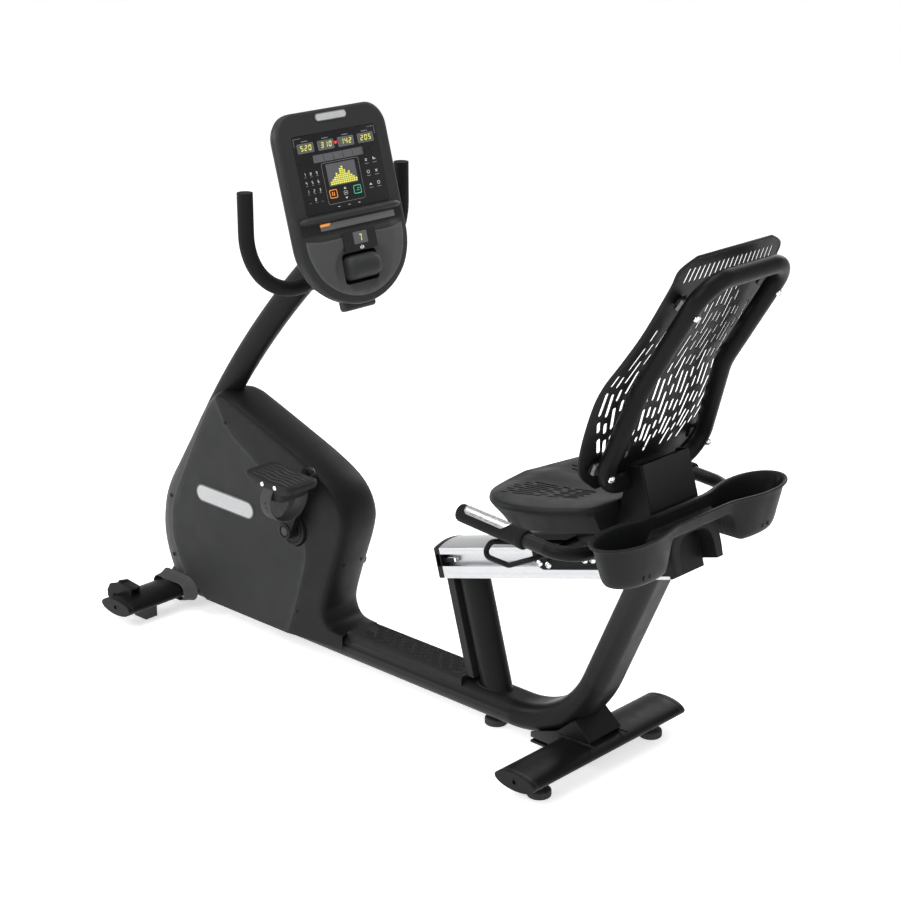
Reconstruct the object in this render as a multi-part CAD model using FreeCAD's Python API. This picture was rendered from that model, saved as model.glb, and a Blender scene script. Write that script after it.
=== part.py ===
import FreeCAD, Part
import math
import os

# Recumbent exercise bike, free standing on a flat floor, in millimetres.
# +X points forward (towards the console), +Y to the rider's left, +Z up.
# The model is drawn from a working origin under the seat rail; every sub-part is then
# moved along X so that the finished origin lies at the middle of the length, on the floor.

V = FreeCAD.Vector
X_AXIS = V(1, 0, 0)
Y_AXIS = V(0, 1, 0)
Z_AXIS = V(0, 0, 1)
ORIGIN = V(0, 0, 0)

# ---- overall extent -------------------------------------------------------
FRONT_X = 892.0            # nose of the shroud and the wheel brackets
REAR_X = -808.0            # back of the seat-back tube
MIDDLE_X = (FRONT_X + REAR_X) / 2

# ---- base frame -----------------------------------------------------------
BASE_WIDTH = 92.0
BASE_HEIGHT = 60.0
BASE_CORNER = 26.0
BASE_AXIS_Z = 58.0
BASE_WALL = 2.5
BASE_TOP = BASE_AXIS_Z + BASE_HEIGHT / 2
BASE_FRONT_X = 845.0
LEG_FOOT_X = -417.0        # where the level run and the leg's axis would meet
LEG_LEAN = 23.9            # degrees back from vertical
LEG_LENGTH = 520.0
LEG_BEND = 240.0

# ---- stabilisers and what they stand on -----------------------------------
STAB_DEPTH = 104.0
STAB_HEIGHT = 38.0
STAB_WALL = 2.5
STAB_Z = 49.0
STAB_TUBE_HALF = 232.0
STAB_CAP = 12.0
FRONT_STAB_X = 810.0
REAR_STAB_X = -457.0
FOOT_RADIUS = 25.0
FOOT_HEIGHT = 15.0
FOOT_STUD = 5.0
FOOT_STUD_TOP = 42.0
REAR_FOOT_X = -468.0
REAR_FOOT_Y = 180.0
CENTRE_FOOT_X = -190.0
WHEEL_X = 864.0
WHEEL_Z = 54.0
WHEEL_Y = 190.0
WHEEL_RADIUS = 26.0
WHEEL_WIDTH = 20.0
WHEEL_PIN = 4.0
WHEEL_POCKET = 1.5         # gap round each wheel in the front stabiliser
RUNNING_GAP = 0.05         # radial clearance of every running fit

# ---- seat rail ------------------------------------------------------------
RAIL_ANGLE = 15.6          # degrees, rising to the rear
RAIL_START = V(-85, 0, 321)
RAIL_LENGTH = 615.0
RAIL_HALF = 50.0
RAIL_LEDGE = 22.0          # height of the lower box of the extrusion
RAIL_SLOT_TOP = 55.0
RAIL_EDGE = 66.0
RAIL_CROWN = 76.0
RAIL_WEB_HALF = 30.0
RAIL_CORE_HALF = 23.0
RAIL_CAP = 16.0
POST_FRONT = 2.0           # distances back from the rail's front end
POST_BACK = -74.0
POST_WIDTH = 54.0
POST_WALL = 2.5
POST_LENGTH = 265.0
COVER_FRONT = 24.0

# ---- mast, handlebar, console ---------------------------------------------
MAST_DEPTH = 64.0
MAST_WIDTH = 50.0
MAST_WALL = 2.5
MAST_POINTS = (V(688, 0, 520), V(537, 0, 720), V(360, 0, 908))
MAST_BEND = 450.0
BAR_X = 311.0
BAR_HALF = 229.0
BAR_TOP = 1115.0
BAR_LOW = 892.0
BAR_BEND = 140.0
BAR_RADIUS = 14.0
BAR_GRIP_RADIUS = 16.8
BAR_GRIP_END = 70.0        # where the foam stops, each side of the middle
CONSOLE_FACE = V(239, 0, 1056)
CONSOLE_LEAN = 15.5
CONSOLE_TOP = 220.0
CONSOLE_BOTTOM = -198.0
CONSOLE_HALF = 158.0
CONSOLE_FRONT_DEPTH = 17.0
CONSOLE_DEPTH = 50.0
CONSOLE_TAPER = 40.0
NECK_REACH = 134.0           # along the mast's end, trimmed by the console's back
NECK_UP = -54.0              # where the neck meets the console, up its face
NECK_PLATE = 5.0
SCREEN_HALF = 122.0
SCREEN_LOW = 4.0
SCREEN_HIGH = 172.0
SCREEN_THICK = 2.0
TRAY_HALF = 146.0
PADDLE_PIVOT_UP = -120.0
PADDLE_PIVOT_DEPTH = 14.0
PADDLE_HALF = 48.0

# ---- shroud ---------------------------------------------------------------
SHROUD_HALF = 56.0
SHROUD_WALL = 3.0
# half-width of each slab of the shroud and how far its outline is drawn in
SHROUD_STEPS = ((23.0, 0.0), (36.0, 3.0), (47.0, 8.0), (SHROUD_HALF, 16.0))
DISC_HOLE = 43.0

# ---- drive ----------------------------------------------------------------
CRANK_X = 380.0
CRANK_Z = 313.0
CRANK_LENGTH = 170.0
CRANK_LEAN = 26.0          # left arm's angle back from straight up
CRANK_AXLE = 10.0
CRANK_INNER = 68.0
CRANK_OUTER = 84.0
DISC_RADIUS = 40.0
BIG_PULLEY = 110.0
SMALL_PULLEY = 20.0
PULLEY_INNER = -14.0       # belt plane, on the rider's right of the middle
PULLEY_OUTER = -30.0
BELT_GAP = 0.4
BELT_THICK = 2.4
ROTOR_X = 600.0
ROTOR_Z = 240.0
ROTOR_RADIUS = 95.0
ROTOR_BORE = 80.0
ROTOR_AXLE = 8.0
PLATE_INNER = 36.0
PLATE_OUTER = 40.0
BEARING_RADIUS = 22.0
SPINDLE = 7.0
PEDAL_INNER = 100.0
PEDAL_OUTER = 192.0

# ---- seat -----------------------------------------------------------------
CARRIAGE_FRONT = -275.0    # along the rail, from its front end
CARRIAGE_BACK = -600.0
CARRIAGE_PLATE_IN = 54.0
CARRIAGE_PLATE_OUT = 58.0
CARRIAGE_LOW = 21.0
CARRIAGE_TOP = 100.0
CARRIAGE_SKIN = 4.0
ROLLER_RADIUS = 15.5
ROLLER_UP = 37.8
ROLLER_PLACES = {"front_rollers": -300.0, "rear_rollers": -500.0}
ROLLER_PIN = 5.0
LEVER_ALONG = -400.0
LEVER_UP = 84.0
LEVER_SHAFT = 6.0
LEVER_ROD = 5.5
SHOE_GAP = 0.4
BACK_TUBE = 18.0
BACK_WALL = 2.0
BRACKET_HALF = 75.0
GRIP_Y = 260.0
HANDLE_TUBE = 14.0
HANDLE_GRIP = 18.0
TUB_X = -685.0
TUB_Y = 195.0
TUB_TOP = 620.0
TUB_FLOOR = 530.0
TUB_HALF_X = 46.0
TUB_HALF_Y = 87.0
TUB_WALL = 3.0
TUB_LIP = 7.0
TROUGH_DEPTH = 30.0


# ===========================================================================
# helpers
# ===========================================================================
def box(x0, x1, y0, y1, z0, z1):
    """Axis-aligned block between two opposite corners."""
    return Part.makeBox(x1 - x0, y1 - y0, z1 - z0, V(x0, y0, z0))


def rod(start, end, radius):
    """Solid cylinder from one point to another."""
    line = end - start
    return Part.makeCylinder(radius, line.Length, start, line)


def sleeve(start, end, outer, inner):
    """Cylinder with a bore right through it."""
    return rod(start, end, outer).cut(rod(start, end, inner))


def disc_y(x, z, y0, y1, radius):
    """Cylinder whose axis runs along Y."""
    low, high = min(y0, y1), max(y0, y1)
    return Part.makeCylinder(radius, high - low, V(x, low, z), Y_AXIS)


def ring_y(x, z, y0, y1, outer, inner):
    """Ring whose axis runs along Y."""
    return disc_y(x, z, y0, y1, outer).cut(disc_y(x, z, y0, y1, inner))


def side_plate(points, y0, y1):
    """Flat plate: an XZ outline of straight edges, from y0 to y1."""
    low, high = min(y0, y1), max(y0, y1)
    corners = [V(x, low, z) for x, z in points]
    face = Part.Face(Part.makePolygon(corners + corners[:1]))
    return face.extrude(V(0, high - low, 0))


def mirrored(shape):
    """The same shape on the other side of the middle plane."""
    return shape.mirror(ORIGIN, Y_AXIS)


def both_sides(shape):
    """A left shape and its mirror image, as two separate solids."""
    return Part.makeCompound([shape, mirrored(shape)])


def fused(shapes):
    """One solid out of several."""
    first, rest = shapes[0], shapes[1:]
    return first.multiFuse(rest).removeSplitter() if rest else first


def bent_path(points, bends):
    """Straight runs joined by tangent arcs, one bend radius per inner point."""
    edges = []
    last = points[0]
    for index, bend in enumerate(bends):
        before, corner, after = points[index], points[index + 1], points[index + 2]
        into = (corner - before).normalize()
        out = (after - corner).normalize()
        turn = into.getAngle(out)
        reach = bend * math.tan(turn / 2)
        start = corner - into * reach
        end = corner + out * reach
        to_centre = (out - into).normalize()
        centre = corner + to_centre * (bend / math.cos(turn / 2))
        middle = centre - to_centre * bend
        if (start - last).Length > 0.01:
            edges.append(Part.LineSegment(last, start).toShape())
        edges.append(Part.Arc(start, middle, end).toShape())
        last = end
    edges.append(Part.LineSegment(last, points[-1]).toShape())
    return Part.Wire(edges)


def sweep(path, section):
    """Solid made by carrying a closed section along a path."""
    return path.makePipeShell([section], True, False)


def round_bar(points, bends, radius):
    """Round rod bent along a route."""
    heading = points[1] - points[0]
    circle = Part.Wire(Part.makeCircle(radius, points[0], heading))
    return sweep(bent_path(points, bends), circle)


def round_tube(points, bends, outer, inner):
    """Round tube bent along a route, open at both ends."""
    return round_bar(points, bends, outer).cut(round_bar(points, bends, inner))


def rounded_section(x, width, height, z, corner):
    """Rounded rectangle in the plane across X."""
    plate = box(x, x + 1, -width / 2, width / 2, z - height / 2, z + height / 2)
    long_edges = [edge for edge in plate.Edges if abs(edge.tangentAt(0).x) > 0.9]
    plate = plate.makeFillet(corner, long_edges)
    for face in plate.Faces:
        if face.normalAt(0, 0).x < -0.9:
            return face.OuterWire


def ellipse_solid(centre, half_x, half_z, y0, y1):
    """Elliptical bar along Y."""
    if half_x >= half_z:
        curve = Part.Ellipse(centre + V(half_x, 0, 0), centre + V(0, 0, half_z), centre)
    else:
        curve = Part.Ellipse(centre + V(0, 0, half_z), centre + V(half_x, 0, 0), centre)
    face = Part.Face(Part.Wire(curve.toShape()))
    face.translate(V(0, y0 - centre.y, 0))
    return face.extrude(V(0, y1 - y0, 0))


def on_rail(shape):
    """Place a shape drawn with X forward along the rail and Z square to it."""
    placed = shape.copy()
    placed.rotate(ORIGIN, Y_AXIS, RAIL_ANGLE)
    placed.translate(RAIL_START)
    return placed


def rail_point(along, y, up):
    """A point given in the rail's own directions."""
    lean = math.radians(RAIL_ANGLE)
    return RAIL_START + V(along * math.cos(lean) + up * math.sin(lean), y,
                          up * math.cos(lean) - along * math.sin(lean))


def on_console(shape):
    """Place a shape drawn with Z up the console's face and X away from the rider."""
    placed = shape.copy()
    placed.rotate(ORIGIN, Y_AXIS, CONSOLE_LEAN)
    placed.translate(CONSOLE_FACE)
    return placed


def write(name, shape):
    """Move a finished sub-part to the row's origin and save it."""
    moved = shape.copy()
    moved.translate(V(-MIDDLE_X, 0, 0))
    solids = len(moved.Solids)
    if not moved.isValid() or solids == 0:
        raise ValueError("bad shape: " + name)
    moved.exportStep(os.path.join("parts", name + ".step"))
    print("%-24s %d solid(s) %10.0f mm3" % (name, solids, sum(s.Volume for s in moved.Solids)))


# ===========================================================================
# frame
# ===========================================================================
def base_sweep(shrink):
    """The base tube's outline or, with a wall's thickness taken off, its bore."""
    lean = math.radians(LEG_LEAN)
    leg_top = V(LEG_FOOT_X - LEG_LENGTH * math.sin(lean), 0,
                BASE_AXIS_Z + LEG_LENGTH * math.cos(lean))
    route = bent_path([V(BASE_FRONT_X, 0, BASE_AXIS_Z), V(LEG_FOOT_X, 0, BASE_AXIS_Z), leg_top],
                      [LEG_BEND])
    section = rounded_section(BASE_FRONT_X, BASE_WIDTH - 2 * shrink, BASE_HEIGHT - 2 * shrink,
                              BASE_AXIS_Z, BASE_CORNER - shrink)
    return sweep(route, section)


def stabiliser_bar(x, half, shrink=0.0):
    """Lens-shaped bar across the bike."""
    return ellipse_solid(V(x, 0, STAB_Z), STAB_DEPTH / 2 - shrink, STAB_HEIGHT / 2 - shrink,
                         -half, half)


def make_base_frame():
    above_rail = on_rail(box(-900, 200, -200, 200, 0, 500))
    tube = base_sweep(0).cut(base_sweep(BASE_WALL)).cut(above_rail)
    foot_hole = rod(V(CENTRE_FOOT_X, 0, 0), V(CENTRE_FOOT_X, 0, BASE_AXIS_Z), FOOT_STUD + 0.4)
    return tube.cut(stabiliser_bar(FRONT_STAB_X, 300)).cut(foot_hole)


def post_bar(shrink, head=0.0):
    """Oval bar square to the rail, from a little above or at its underside to the base."""
    centre = V((POST_FRONT + POST_BACK) / 2 - 4, 0, head)
    half_depth = (POST_FRONT - POST_BACK) / 2 - shrink
    curve = Part.Ellipse(centre + V(half_depth, 0, 0), centre + V(0, POST_WIDTH / 2 - shrink, 0),
                         centre)
    face = Part.Face(Part.Wire(curve.toShape()))
    return on_rail(face.extrude(V(0, 0, -POST_LENGTH - head)))


def make_front_post():
    return post_bar(0).cut(post_bar(POST_WALL)).cut(base_sweep(0))


def make_post_cover():
    strip = box(-1, COVER_FRONT, -26, 26, -248, 0)
    upright = [edge for edge in strip.Edges
               if abs(edge.tangentAt(0).z) > 0.9 and edge.Vertexes[0].X > 0]
    strip = strip.makeFillet(9, upright)
    strip = on_rail(strip)
    lower = box(-300, 300, -60, 60, -100, BASE_TOP + 12)
    return strip.cut(lower).cut(post_bar(0, 50))


def make_step_deck():
    deck = box(-125, 227, -41, 41, BASE_TOP - 10, BASE_TOP + 12)
    top_edges = [edge for edge in deck.Edges
                 if abs(edge.tangentAt(0).x) > 0.9 and edge.Vertexes[0].Z > BASE_TOP]
    return deck.makeChamfer(5, top_edges).cut(base_sweep(0)).cut(post_bar(0))


def make_stabiliser(x, foot_x=None):
    """Cross bar: with stud holes for its feet, or else with pockets for its wheels."""
    tube = stabiliser_bar(x, STAB_TUBE_HALF).cut(stabiliser_bar(x, STAB_TUBE_HALF, STAB_WALL))
    if foot_x is None:
        for y in (-WHEEL_Y, WHEEL_Y):
            tube = tube.cut(disc_y(WHEEL_X, WHEEL_Z, y - WHEEL_WIDTH / 2 - WHEEL_POCKET,
                                   y + WHEEL_WIDTH / 2 + WHEEL_POCKET,
                                   WHEEL_RADIUS + WHEEL_POCKET))
        return tube
    for y in (-REAR_FOOT_Y, REAR_FOOT_Y):
        tube = tube.cut(rod(V(foot_x, y, 0), V(foot_x, y, STAB_Z), FOOT_STUD + 0.4))
    return tube


def make_stabiliser_end_caps():
    caps = []
    for x in (FRONT_STAB_X, REAR_STAB_X):
        cap = ellipse_solid(V(x, 0, STAB_Z), STAB_DEPTH / 2, STAB_HEIGHT / 2,
                            STAB_TUBE_HALF, STAB_TUBE_HALF + STAB_CAP)
        cap = cap.cut(disc_y(x, STAB_Z, STAB_TUBE_HALF + 4, STAB_TUBE_HALF + 30, 7))
        caps += [cap, mirrored(cap)]
    return Part.makeCompound(caps)


def make_rear_saddle():
    """Folded plate that joins the leg to the rear stabiliser."""
    top_of_bar = STAB_Z + STAB_HEIGHT / 2
    cheek = side_plate([(-331, 34), (-331, 46), (-404, 72), (-442, 106), (-452, 104),
                        (-488, 72), (-488, 58), (-404, 34)], 46.2, 50)
    slope = side_plate([(-446, 108), (-488, 74), (-491, 77), (-449, 111)], -50, 50)
    sole = box(-404, -331, -50, 50, 22, 27)
    keel = box(-404, -396, -50, 50, 26, top_of_bar)
    folded = fused([cheek, mirrored(cheek), slope, keel, sole])
    return folded.cut(base_sweep(0)).cut(stabiliser_bar(REAR_STAB_X, 300))


def make_front_pads():
    pad = box(FRONT_STAB_X - 22, FRONT_STAB_X + 22, 136, 172, 0, STAB_Z - 8)
    return both_sides(pad.cut(stabiliser_bar(FRONT_STAB_X, 300)))


def make_wheel_brackets():
    outline = [(800, 60), (800, 86), (848, 91), (878, 80), (889, 62), (889, 46), (878, 37),
               (850, 37)]
    half = WHEEL_WIDTH / 2 + 1.5
    inner = side_plate(outline, WHEEL_Y - half - 4, WHEEL_Y - half)
    outer = side_plate(outline, WHEEL_Y + half, WHEEL_Y + half + 4)
    bridge = side_plate([(800, 82), (800, 86), (836, 90), (836, 86)], WHEEL_Y - half,
                        WHEEL_Y + half)
    pin = disc_y(WHEEL_X, WHEEL_Z, WHEEL_Y - half - 7, WHEEL_Y + half + 7, WHEEL_PIN)
    whole = fused([inner, outer, bridge, pin])
    return both_sides(whole.cut(stabiliser_bar(FRONT_STAB_X, 300)))


def make_wheel():
    half = WHEEL_WIDTH / 2
    wheel = ring_y(WHEEL_X, WHEEL_Z, WHEEL_Y - half, WHEEL_Y + half, WHEEL_RADIUS,
                   WHEEL_PIN + RUNNING_GAP)
    rims = [edge for edge in wheel.Edges
            if hasattr(edge.Curve, "Radius") and edge.Curve.Radius == WHEEL_RADIUS]
    return wheel.makeFillet(4, rims)


def make_foot(x, y):
    """Levelling foot: ribbed disc with its threaded stud."""
    disc = Part.makeCylinder(FOOT_RADIUS, FOOT_HEIGHT, V(x, y, 0))
    for step in range(16):
        angle = 2 * math.pi * step / 16
        notch = V(x + FOOT_RADIUS * math.cos(angle), y + FOOT_RADIUS * math.sin(angle), 3)
        disc = disc.cut(Part.makeCylinder(2.0, FOOT_HEIGHT, notch))
    stud = Part.makeCylinder(FOOT_STUD, FOOT_STUD_TOP, V(x, y, 0))
    return disc.fuse(stud).removeSplitter()


# ===========================================================================
# rail
# ===========================================================================
def rail_outline(half, top_edge, crown, x):
    """Half-crowned section across the rail, as a closed wire."""
    left, right = V(x, half, top_edge), V(x, -half, top_edge)
    low_left, low_right = V(x, half, 0), V(x, -half, 0)
    arc = Part.Arc(left, V(x, 0, crown), right).toShape()
    lines = [Part.LineSegment(right, low_right).toShape(),
             Part.LineSegment(low_right, low_left).toShape(),
             Part.LineSegment(low_left, left).toShape()]
    return Part.Wire([arc] + lines)


def make_seat_rail():
    body = Part.Face(rail_outline(RAIL_HALF, RAIL_EDGE, RAIL_CROWN, 0)).extrude(
        V(-RAIL_LENGTH, 0, 0))
    slot = box(-RAIL_LENGTH - 1, 1, RAIL_WEB_HALF, RAIL_HALF - 4, RAIL_LEDGE, RAIL_SLOT_TOP)
    mouth = box(-RAIL_LENGTH - 1, 1, RAIL_HALF - 5, RAIL_HALF + 1, RAIL_LEDGE + 4,
                RAIL_SLOT_TOP - 3)
    core = box(-RAIL_LENGTH - 1, 1, -RAIL_CORE_HALF, RAIL_CORE_HALF, 6, RAIL_EDGE - 4)
    side = box(-RAIL_LENGTH - 1, 1, RAIL_WEB_HALF, RAIL_HALF - 5, 5, RAIL_LEDGE - 5)
    for cut in (slot, mouth, side):
        body = body.cut(cut).cut(mirrored(cut))
    return on_rail(body.cut(core))


def make_rail_end_caps():
    front = Part.Face(rail_outline(RAIL_HALF, RAIL_EDGE, RAIL_CROWN, 0)).extrude(
        V(RAIL_CAP, 0, 0))
    recess = box(3, RAIL_CAP - 3, RAIL_WEB_HALF + 2, RAIL_HALF + 1, RAIL_LEDGE + 4,
                 RAIL_SLOT_TOP - 3)
    lug = box(-30, 2, RAIL_WEB_HALF + 1, RAIL_WEB_HALF + 12, 32, 42)
    front = fused([front.cut(recess).cut(mirrored(recess)), lug, mirrored(lug)])
    rear = Part.Face(rail_outline(RAIL_HALF, RAIL_EDGE, RAIL_CROWN, -RAIL_LENGTH)).extrude(
        V(-6, 0, 0))
    return Part.makeCompound([on_rail(front), on_rail(rear)])


# ===========================================================================
# mast, handlebar, console
# ===========================================================================
def mast_sweep(shrink):
    """The curved upright: plumb at the foot, then arched back towards the rider."""
    low, mid, high = MAST_POINTS
    arch = Part.Arc(low, mid, high).toShape()
    radial = (low - arch.Curve.Center).normalize()
    tangent = V(-radial.z, 0, radial.x)
    if tangent.z > 0:
        tangent = tangent * -1
    turn = math.acos(-tangent.z)
    inward = V(-tangent.z, 0, tangent.x)
    if inward.x > 0:
        inward = inward * -1
    bend_centre = low + inward * MAST_BEND
    plumb_x = bend_centre.x + MAST_BEND
    start = V(plumb_x, 0, bend_centre.z)
    half_turn = turn / 2
    middle = bend_centre + V(MAST_BEND * math.cos(half_turn), 0, MAST_BEND * math.sin(half_turn))
    foot = V(plumb_x, 0, BASE_TOP - 14)
    path = Part.Wire([Part.LineSegment(foot, start).toShape(),
                      Part.Arc(start, middle, low).toShape(), arch])
    curve = Part.Ellipse(foot + V(MAST_DEPTH / 2 - shrink, 0, 0),
                         foot + V(0, MAST_WIDTH / 2 - shrink, 0), foot)
    return sweep(path, Part.Wire(curve.toShape()))


def mast_top_direction():
    low, mid, high = MAST_POINTS
    radial = (high - Part.Arc(low, mid, high).toShape().Curve.Center).normalize()
    return V(-abs(radial.z), 0, abs(radial.x))


def mast_head():
    """Flange and neck that carry the console, long enough to reach into its back."""
    top = MAST_POINTS[2]
    lift = mast_top_direction()
    return fused([rod(top, top + lift * 8, 30), rod(top + lift * 8, top + lift * NECK_REACH, 16)])


def neck_plate():
    """Round plate at the end of the neck, flat against the back of the console."""
    return on_console(rod(V(CONSOLE_DEPTH, 0, NECK_UP),
                          V(CONSOLE_DEPTH + NECK_PLATE, 0, NECK_UP), 30))


def make_mast():
    """Curved tube with the head plate that carries the bar and the console."""
    tube = mast_sweep(0).cut(mast_sweep(MAST_WALL)).cut(base_sweep(0))
    bar_pad = box(BAR_X + BAR_RADIUS + 0.2, BAR_X + 42, -20, 20, BAR_LOW - 16, BAR_LOW + 16)
    keep_off = mast_sweep(0)
    pad = bar_pad.cut(keep_off)
    pieces = fused([tube, mast_head(), neck_plate()])
    pads = [solid for solid in pad.Solids if solid.BoundBox.XMin < BAR_X + 20]
    shell = console_block(CONSOLE_FRONT_DEPTH, CONSOLE_DEPTH, CONSOLE_TAPER)
    return fused([pieces.cut(shell)] + pads)


def bar_route():
    return [V(BAR_X, BAR_HALF, BAR_TOP), V(BAR_X, BAR_HALF, BAR_LOW),
            V(BAR_X, -BAR_HALF, BAR_LOW), V(BAR_X, -BAR_HALF, BAR_TOP)]


def make_handlebar():
    return round_tube(bar_route(), [BAR_BEND, BAR_BEND], BAR_RADIUS, BAR_RADIUS - 2)


def make_handlebar_grips():
    """Foam sleeve from each upright end round the bend, closed at the top."""
    route = [V(BAR_X, BAR_HALF, BAR_TOP + 4), V(BAR_X, BAR_HALF, BAR_LOW),
             V(BAR_X, BAR_GRIP_END, BAR_LOW)]
    outside = round_bar(route, [BAR_BEND], BAR_GRIP_RADIUS)
    inside = round_bar([V(BAR_X, BAR_HALF, BAR_TOP)] + route[1:], [BAR_BEND], BAR_RADIUS)
    return both_sides(outside.cut(inside))


def console_wire(x, inset):
    """Console outline: square-shouldered screen above, tongue-shaped pod below."""
    half = CONSOLE_HALF - inset
    top = CONSOLE_TOP - inset
    bottom = CONSOLE_BOTTOM + inset
    corner = 52.0
    shoulder = top - corner
    ledge = -60.0
    diagonal = corner * (1 - math.sqrt(0.5))
    pod = 0.80 * half
    pod_up = ledge + 0.60 * (bottom - ledge)
    left = [
        Part.Arc(V(x, half - corner, top), V(x, half - diagonal, top - diagonal),
                 V(x, half, shoulder)).toShape(),
        Part.LineSegment(V(x, half, shoulder), V(x, half, ledge)).toShape(),
        Part.Arc(V(x, half, ledge), V(x, half - 7, (ledge + pod_up) / 2 + 2),
                 V(x, pod, pod_up)).toShape()]
    pod_arc = Part.Arc(V(x, pod, pod_up), V(x, 0, bottom), V(x, -pod, pod_up)).toShape()
    right = [edge.mirror(ORIGIN, Y_AXIS) for edge in reversed(left)]
    lid = Part.LineSegment(V(x, -(half - corner), top), V(x, half - corner, top)).toShape()
    return Part.Wire(Part.__sortEdges__(left + [pod_arc] + right + [lid]))


def console_block(x0, x1, taper):
    """Console-shaped slab that narrows by the taper from x0 to x1."""
    slab = Part.makeLoft([console_wire(x0, 0), console_wire(x1, taper)], True, True)
    return on_console(slab)


def make_console_rear_shell():
    """Tapered back of the console with a chin below that meets the mast."""
    shell = console_block(CONSOLE_FRONT_DEPTH, CONSOLE_DEPTH, CONSOLE_TAPER)
    hollow = Part.makeLoft([console_wire(CONSOLE_FRONT_DEPTH - 1, 4),
                            console_wire(CONSOLE_DEPTH - 4, CONSOLE_TAPER + 4)], True, True)
    chin = box(CONSOLE_FRONT_DEPTH + 6, CONSOLE_DEPTH, -34, 34, CONSOLE_BOTTOM - 16,
               CONSOLE_BOTTOM + 62)
    return fused([shell, on_console(chin)]).cut(on_console(hollow))


def make_console_front_shell():
    """Face moulding with the screen recess, the lip under it and the paddle's window."""
    face = Part.makeLoft([console_wire(0, 5), console_wire(5, 0)], True, True)
    back = Part.Face(console_wire(5, 0)).extrude(V(CONSOLE_FRONT_DEPTH - 5, 0, 0))
    hollow = Part.Face(console_wire(6, 5)).extrude(V(CONSOLE_FRONT_DEPTH, 0, 0))
    recess = box(-1, SCREEN_THICK, -SCREEN_HALF, SCREEN_HALF, SCREEN_LOW, SCREEN_HIGH)
    window = box(-1, 30, -PADDLE_HALF - 2, PADDLE_HALF + 2, PADDLE_PIVOT_UP - 32,
                 PADDLE_PIVOT_UP + 32)
    lip = side_plate([(1, -14), (1, 2), (-9, 0), (-13, -5), (-11, -10)], -TRAY_HALF, TRAY_HALF)
    pin = disc_y(PADDLE_PIVOT_DEPTH, PADDLE_PIVOT_UP, -PADDLE_HALF - 6, PADDLE_HALF + 6, 3)
    ears = [box(6, 19, y - 2, y + 2, PADDLE_PIVOT_UP - 8, PADDLE_PIVOT_UP + 8)
            for y in (-PADDLE_HALF - 4, PADDLE_HALF + 4)]
    shell = fused([face, back]).cut(hollow).cut(recess).cut(window)
    return on_console(fused([shell, lip, pin] + ears))


def make_display_overlay():
    gap = 0.1
    return on_console(box(0.4, SCREEN_THICK, -SCREEN_HALF + gap, SCREEN_HALF - gap,
                          SCREEN_LOW + gap, SCREEN_HIGH - gap))


def make_display_windows():
    """Four readouts, a message bar, the profile window and the level readout."""
    windows = []
    for column in range(4):
        middle = 87 - 58 * column
        windows.append(box(-0.4, 0.4, middle - 22, middle + 22, 136, 154))
    windows.append(box(-0.4, 0.4, -70, 70, 112, 126))
    windows.append(box(-0.4, 0.4, -42, 42, 56, 104))
    windows.append(box(-1.2, 0, -24, 16, -72, -44))
    return Part.makeCompound([on_console(window) for window in windows])


def make_paddle():
    """Rocker that the rider tips up or down to change the load."""
    outline = [(20, -9), (20, 9), (4, 24), (-20, 20), (-30, 9), (-30, -9), (-20, -20), (4, -24)]
    centred = side_plate(outline, -PADDLE_HALF, PADDLE_HALF)
    centred.translate(V(PADDLE_PIVOT_DEPTH - 8, 0, PADDLE_PIVOT_UP))
    bore = disc_y(PADDLE_PIVOT_DEPTH, PADDLE_PIVOT_UP, -PADDLE_HALF - 1, PADDLE_HALF + 1,
                  3 + RUNNING_GAP)
    return on_console(centred.cut(bore))


# ===========================================================================
# shroud
# ===========================================================================
SHROUD_CORNERS = ((606, 580, 50), (689, 562, 16), (893, 240, 120), (896, 150, 60),
                  (852, 44, 8), (228, 44, 4), (228, 98, 3), (272, 104, 20), (285, 140, 60),
                  (181, 430, 132))


def shroud_wire(y, inset):
    """Side outline of the shroud, stepped inwards by the inset."""
    count = len(SHROUD_CORNERS)
    arcs = []
    for index, (x, z, radius) in enumerate(SHROUD_CORNERS):
        before = SHROUD_CORNERS[index - 1]
        after = SHROUD_CORNERS[(index + 1) % count]
        corner = V(x, y, z)
        back = (V(before[0], y, before[1]) - corner).normalize()
        ahead = (V(after[0], y, after[1]) - corner).normalize()
        half = back.getAngle(ahead) / 2
        reach = radius / math.tan(half)
        inward = (back + ahead).normalize()
        middle = corner + inward * (radius / math.sin(half) - radius)
        arcs.append((corner + back * reach, middle, corner + ahead * reach))
    edges = []
    for index, (start, middle, end) in enumerate(arcs):
        edges.append(Part.Arc(start, middle, end).toShape())
        edges.append(Part.LineSegment(end, arcs[(index + 1) % count][0]).toShape())
    wire = Part.Wire(edges)
    return wire.makeOffset2D(-inset, 2) if inset else wire


def shroud_prism(half, inset):
    """Block over the middle of the bike with the shroud's outline."""
    face = Part.Face(shroud_wire(-half, inset))
    return face.extrude(V(0, 2 * half, 0))


def shroud_shell():
    """The whole hollow shroud before it is parted into its mouldings."""
    outer = fused([shroud_prism(half, inset) for half, inset in SHROUD_STEPS])
    inner = fused([shroud_prism(half - SHROUD_WALL, inset + SHROUD_WALL + 1)
                   for half, inset in SHROUD_STEPS])
    shell = outer.cut(inner)
    crank_hole = disc_y(CRANK_X, CRANK_Z, -80, 80, DISC_HOLE)
    base_gap = box(200, 950, -BASE_WIDTH / 2 - 0.5, BASE_WIDTH / 2 + 0.5, 20, BASE_TOP + 0.5)
    for cut in (crank_hole, base_gap, mast_sweep(-1.0),
                stabiliser_bar(FRONT_STAB_X, 300, -0.5)):
        shell = shell.cut(cut)
    return shell


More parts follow.
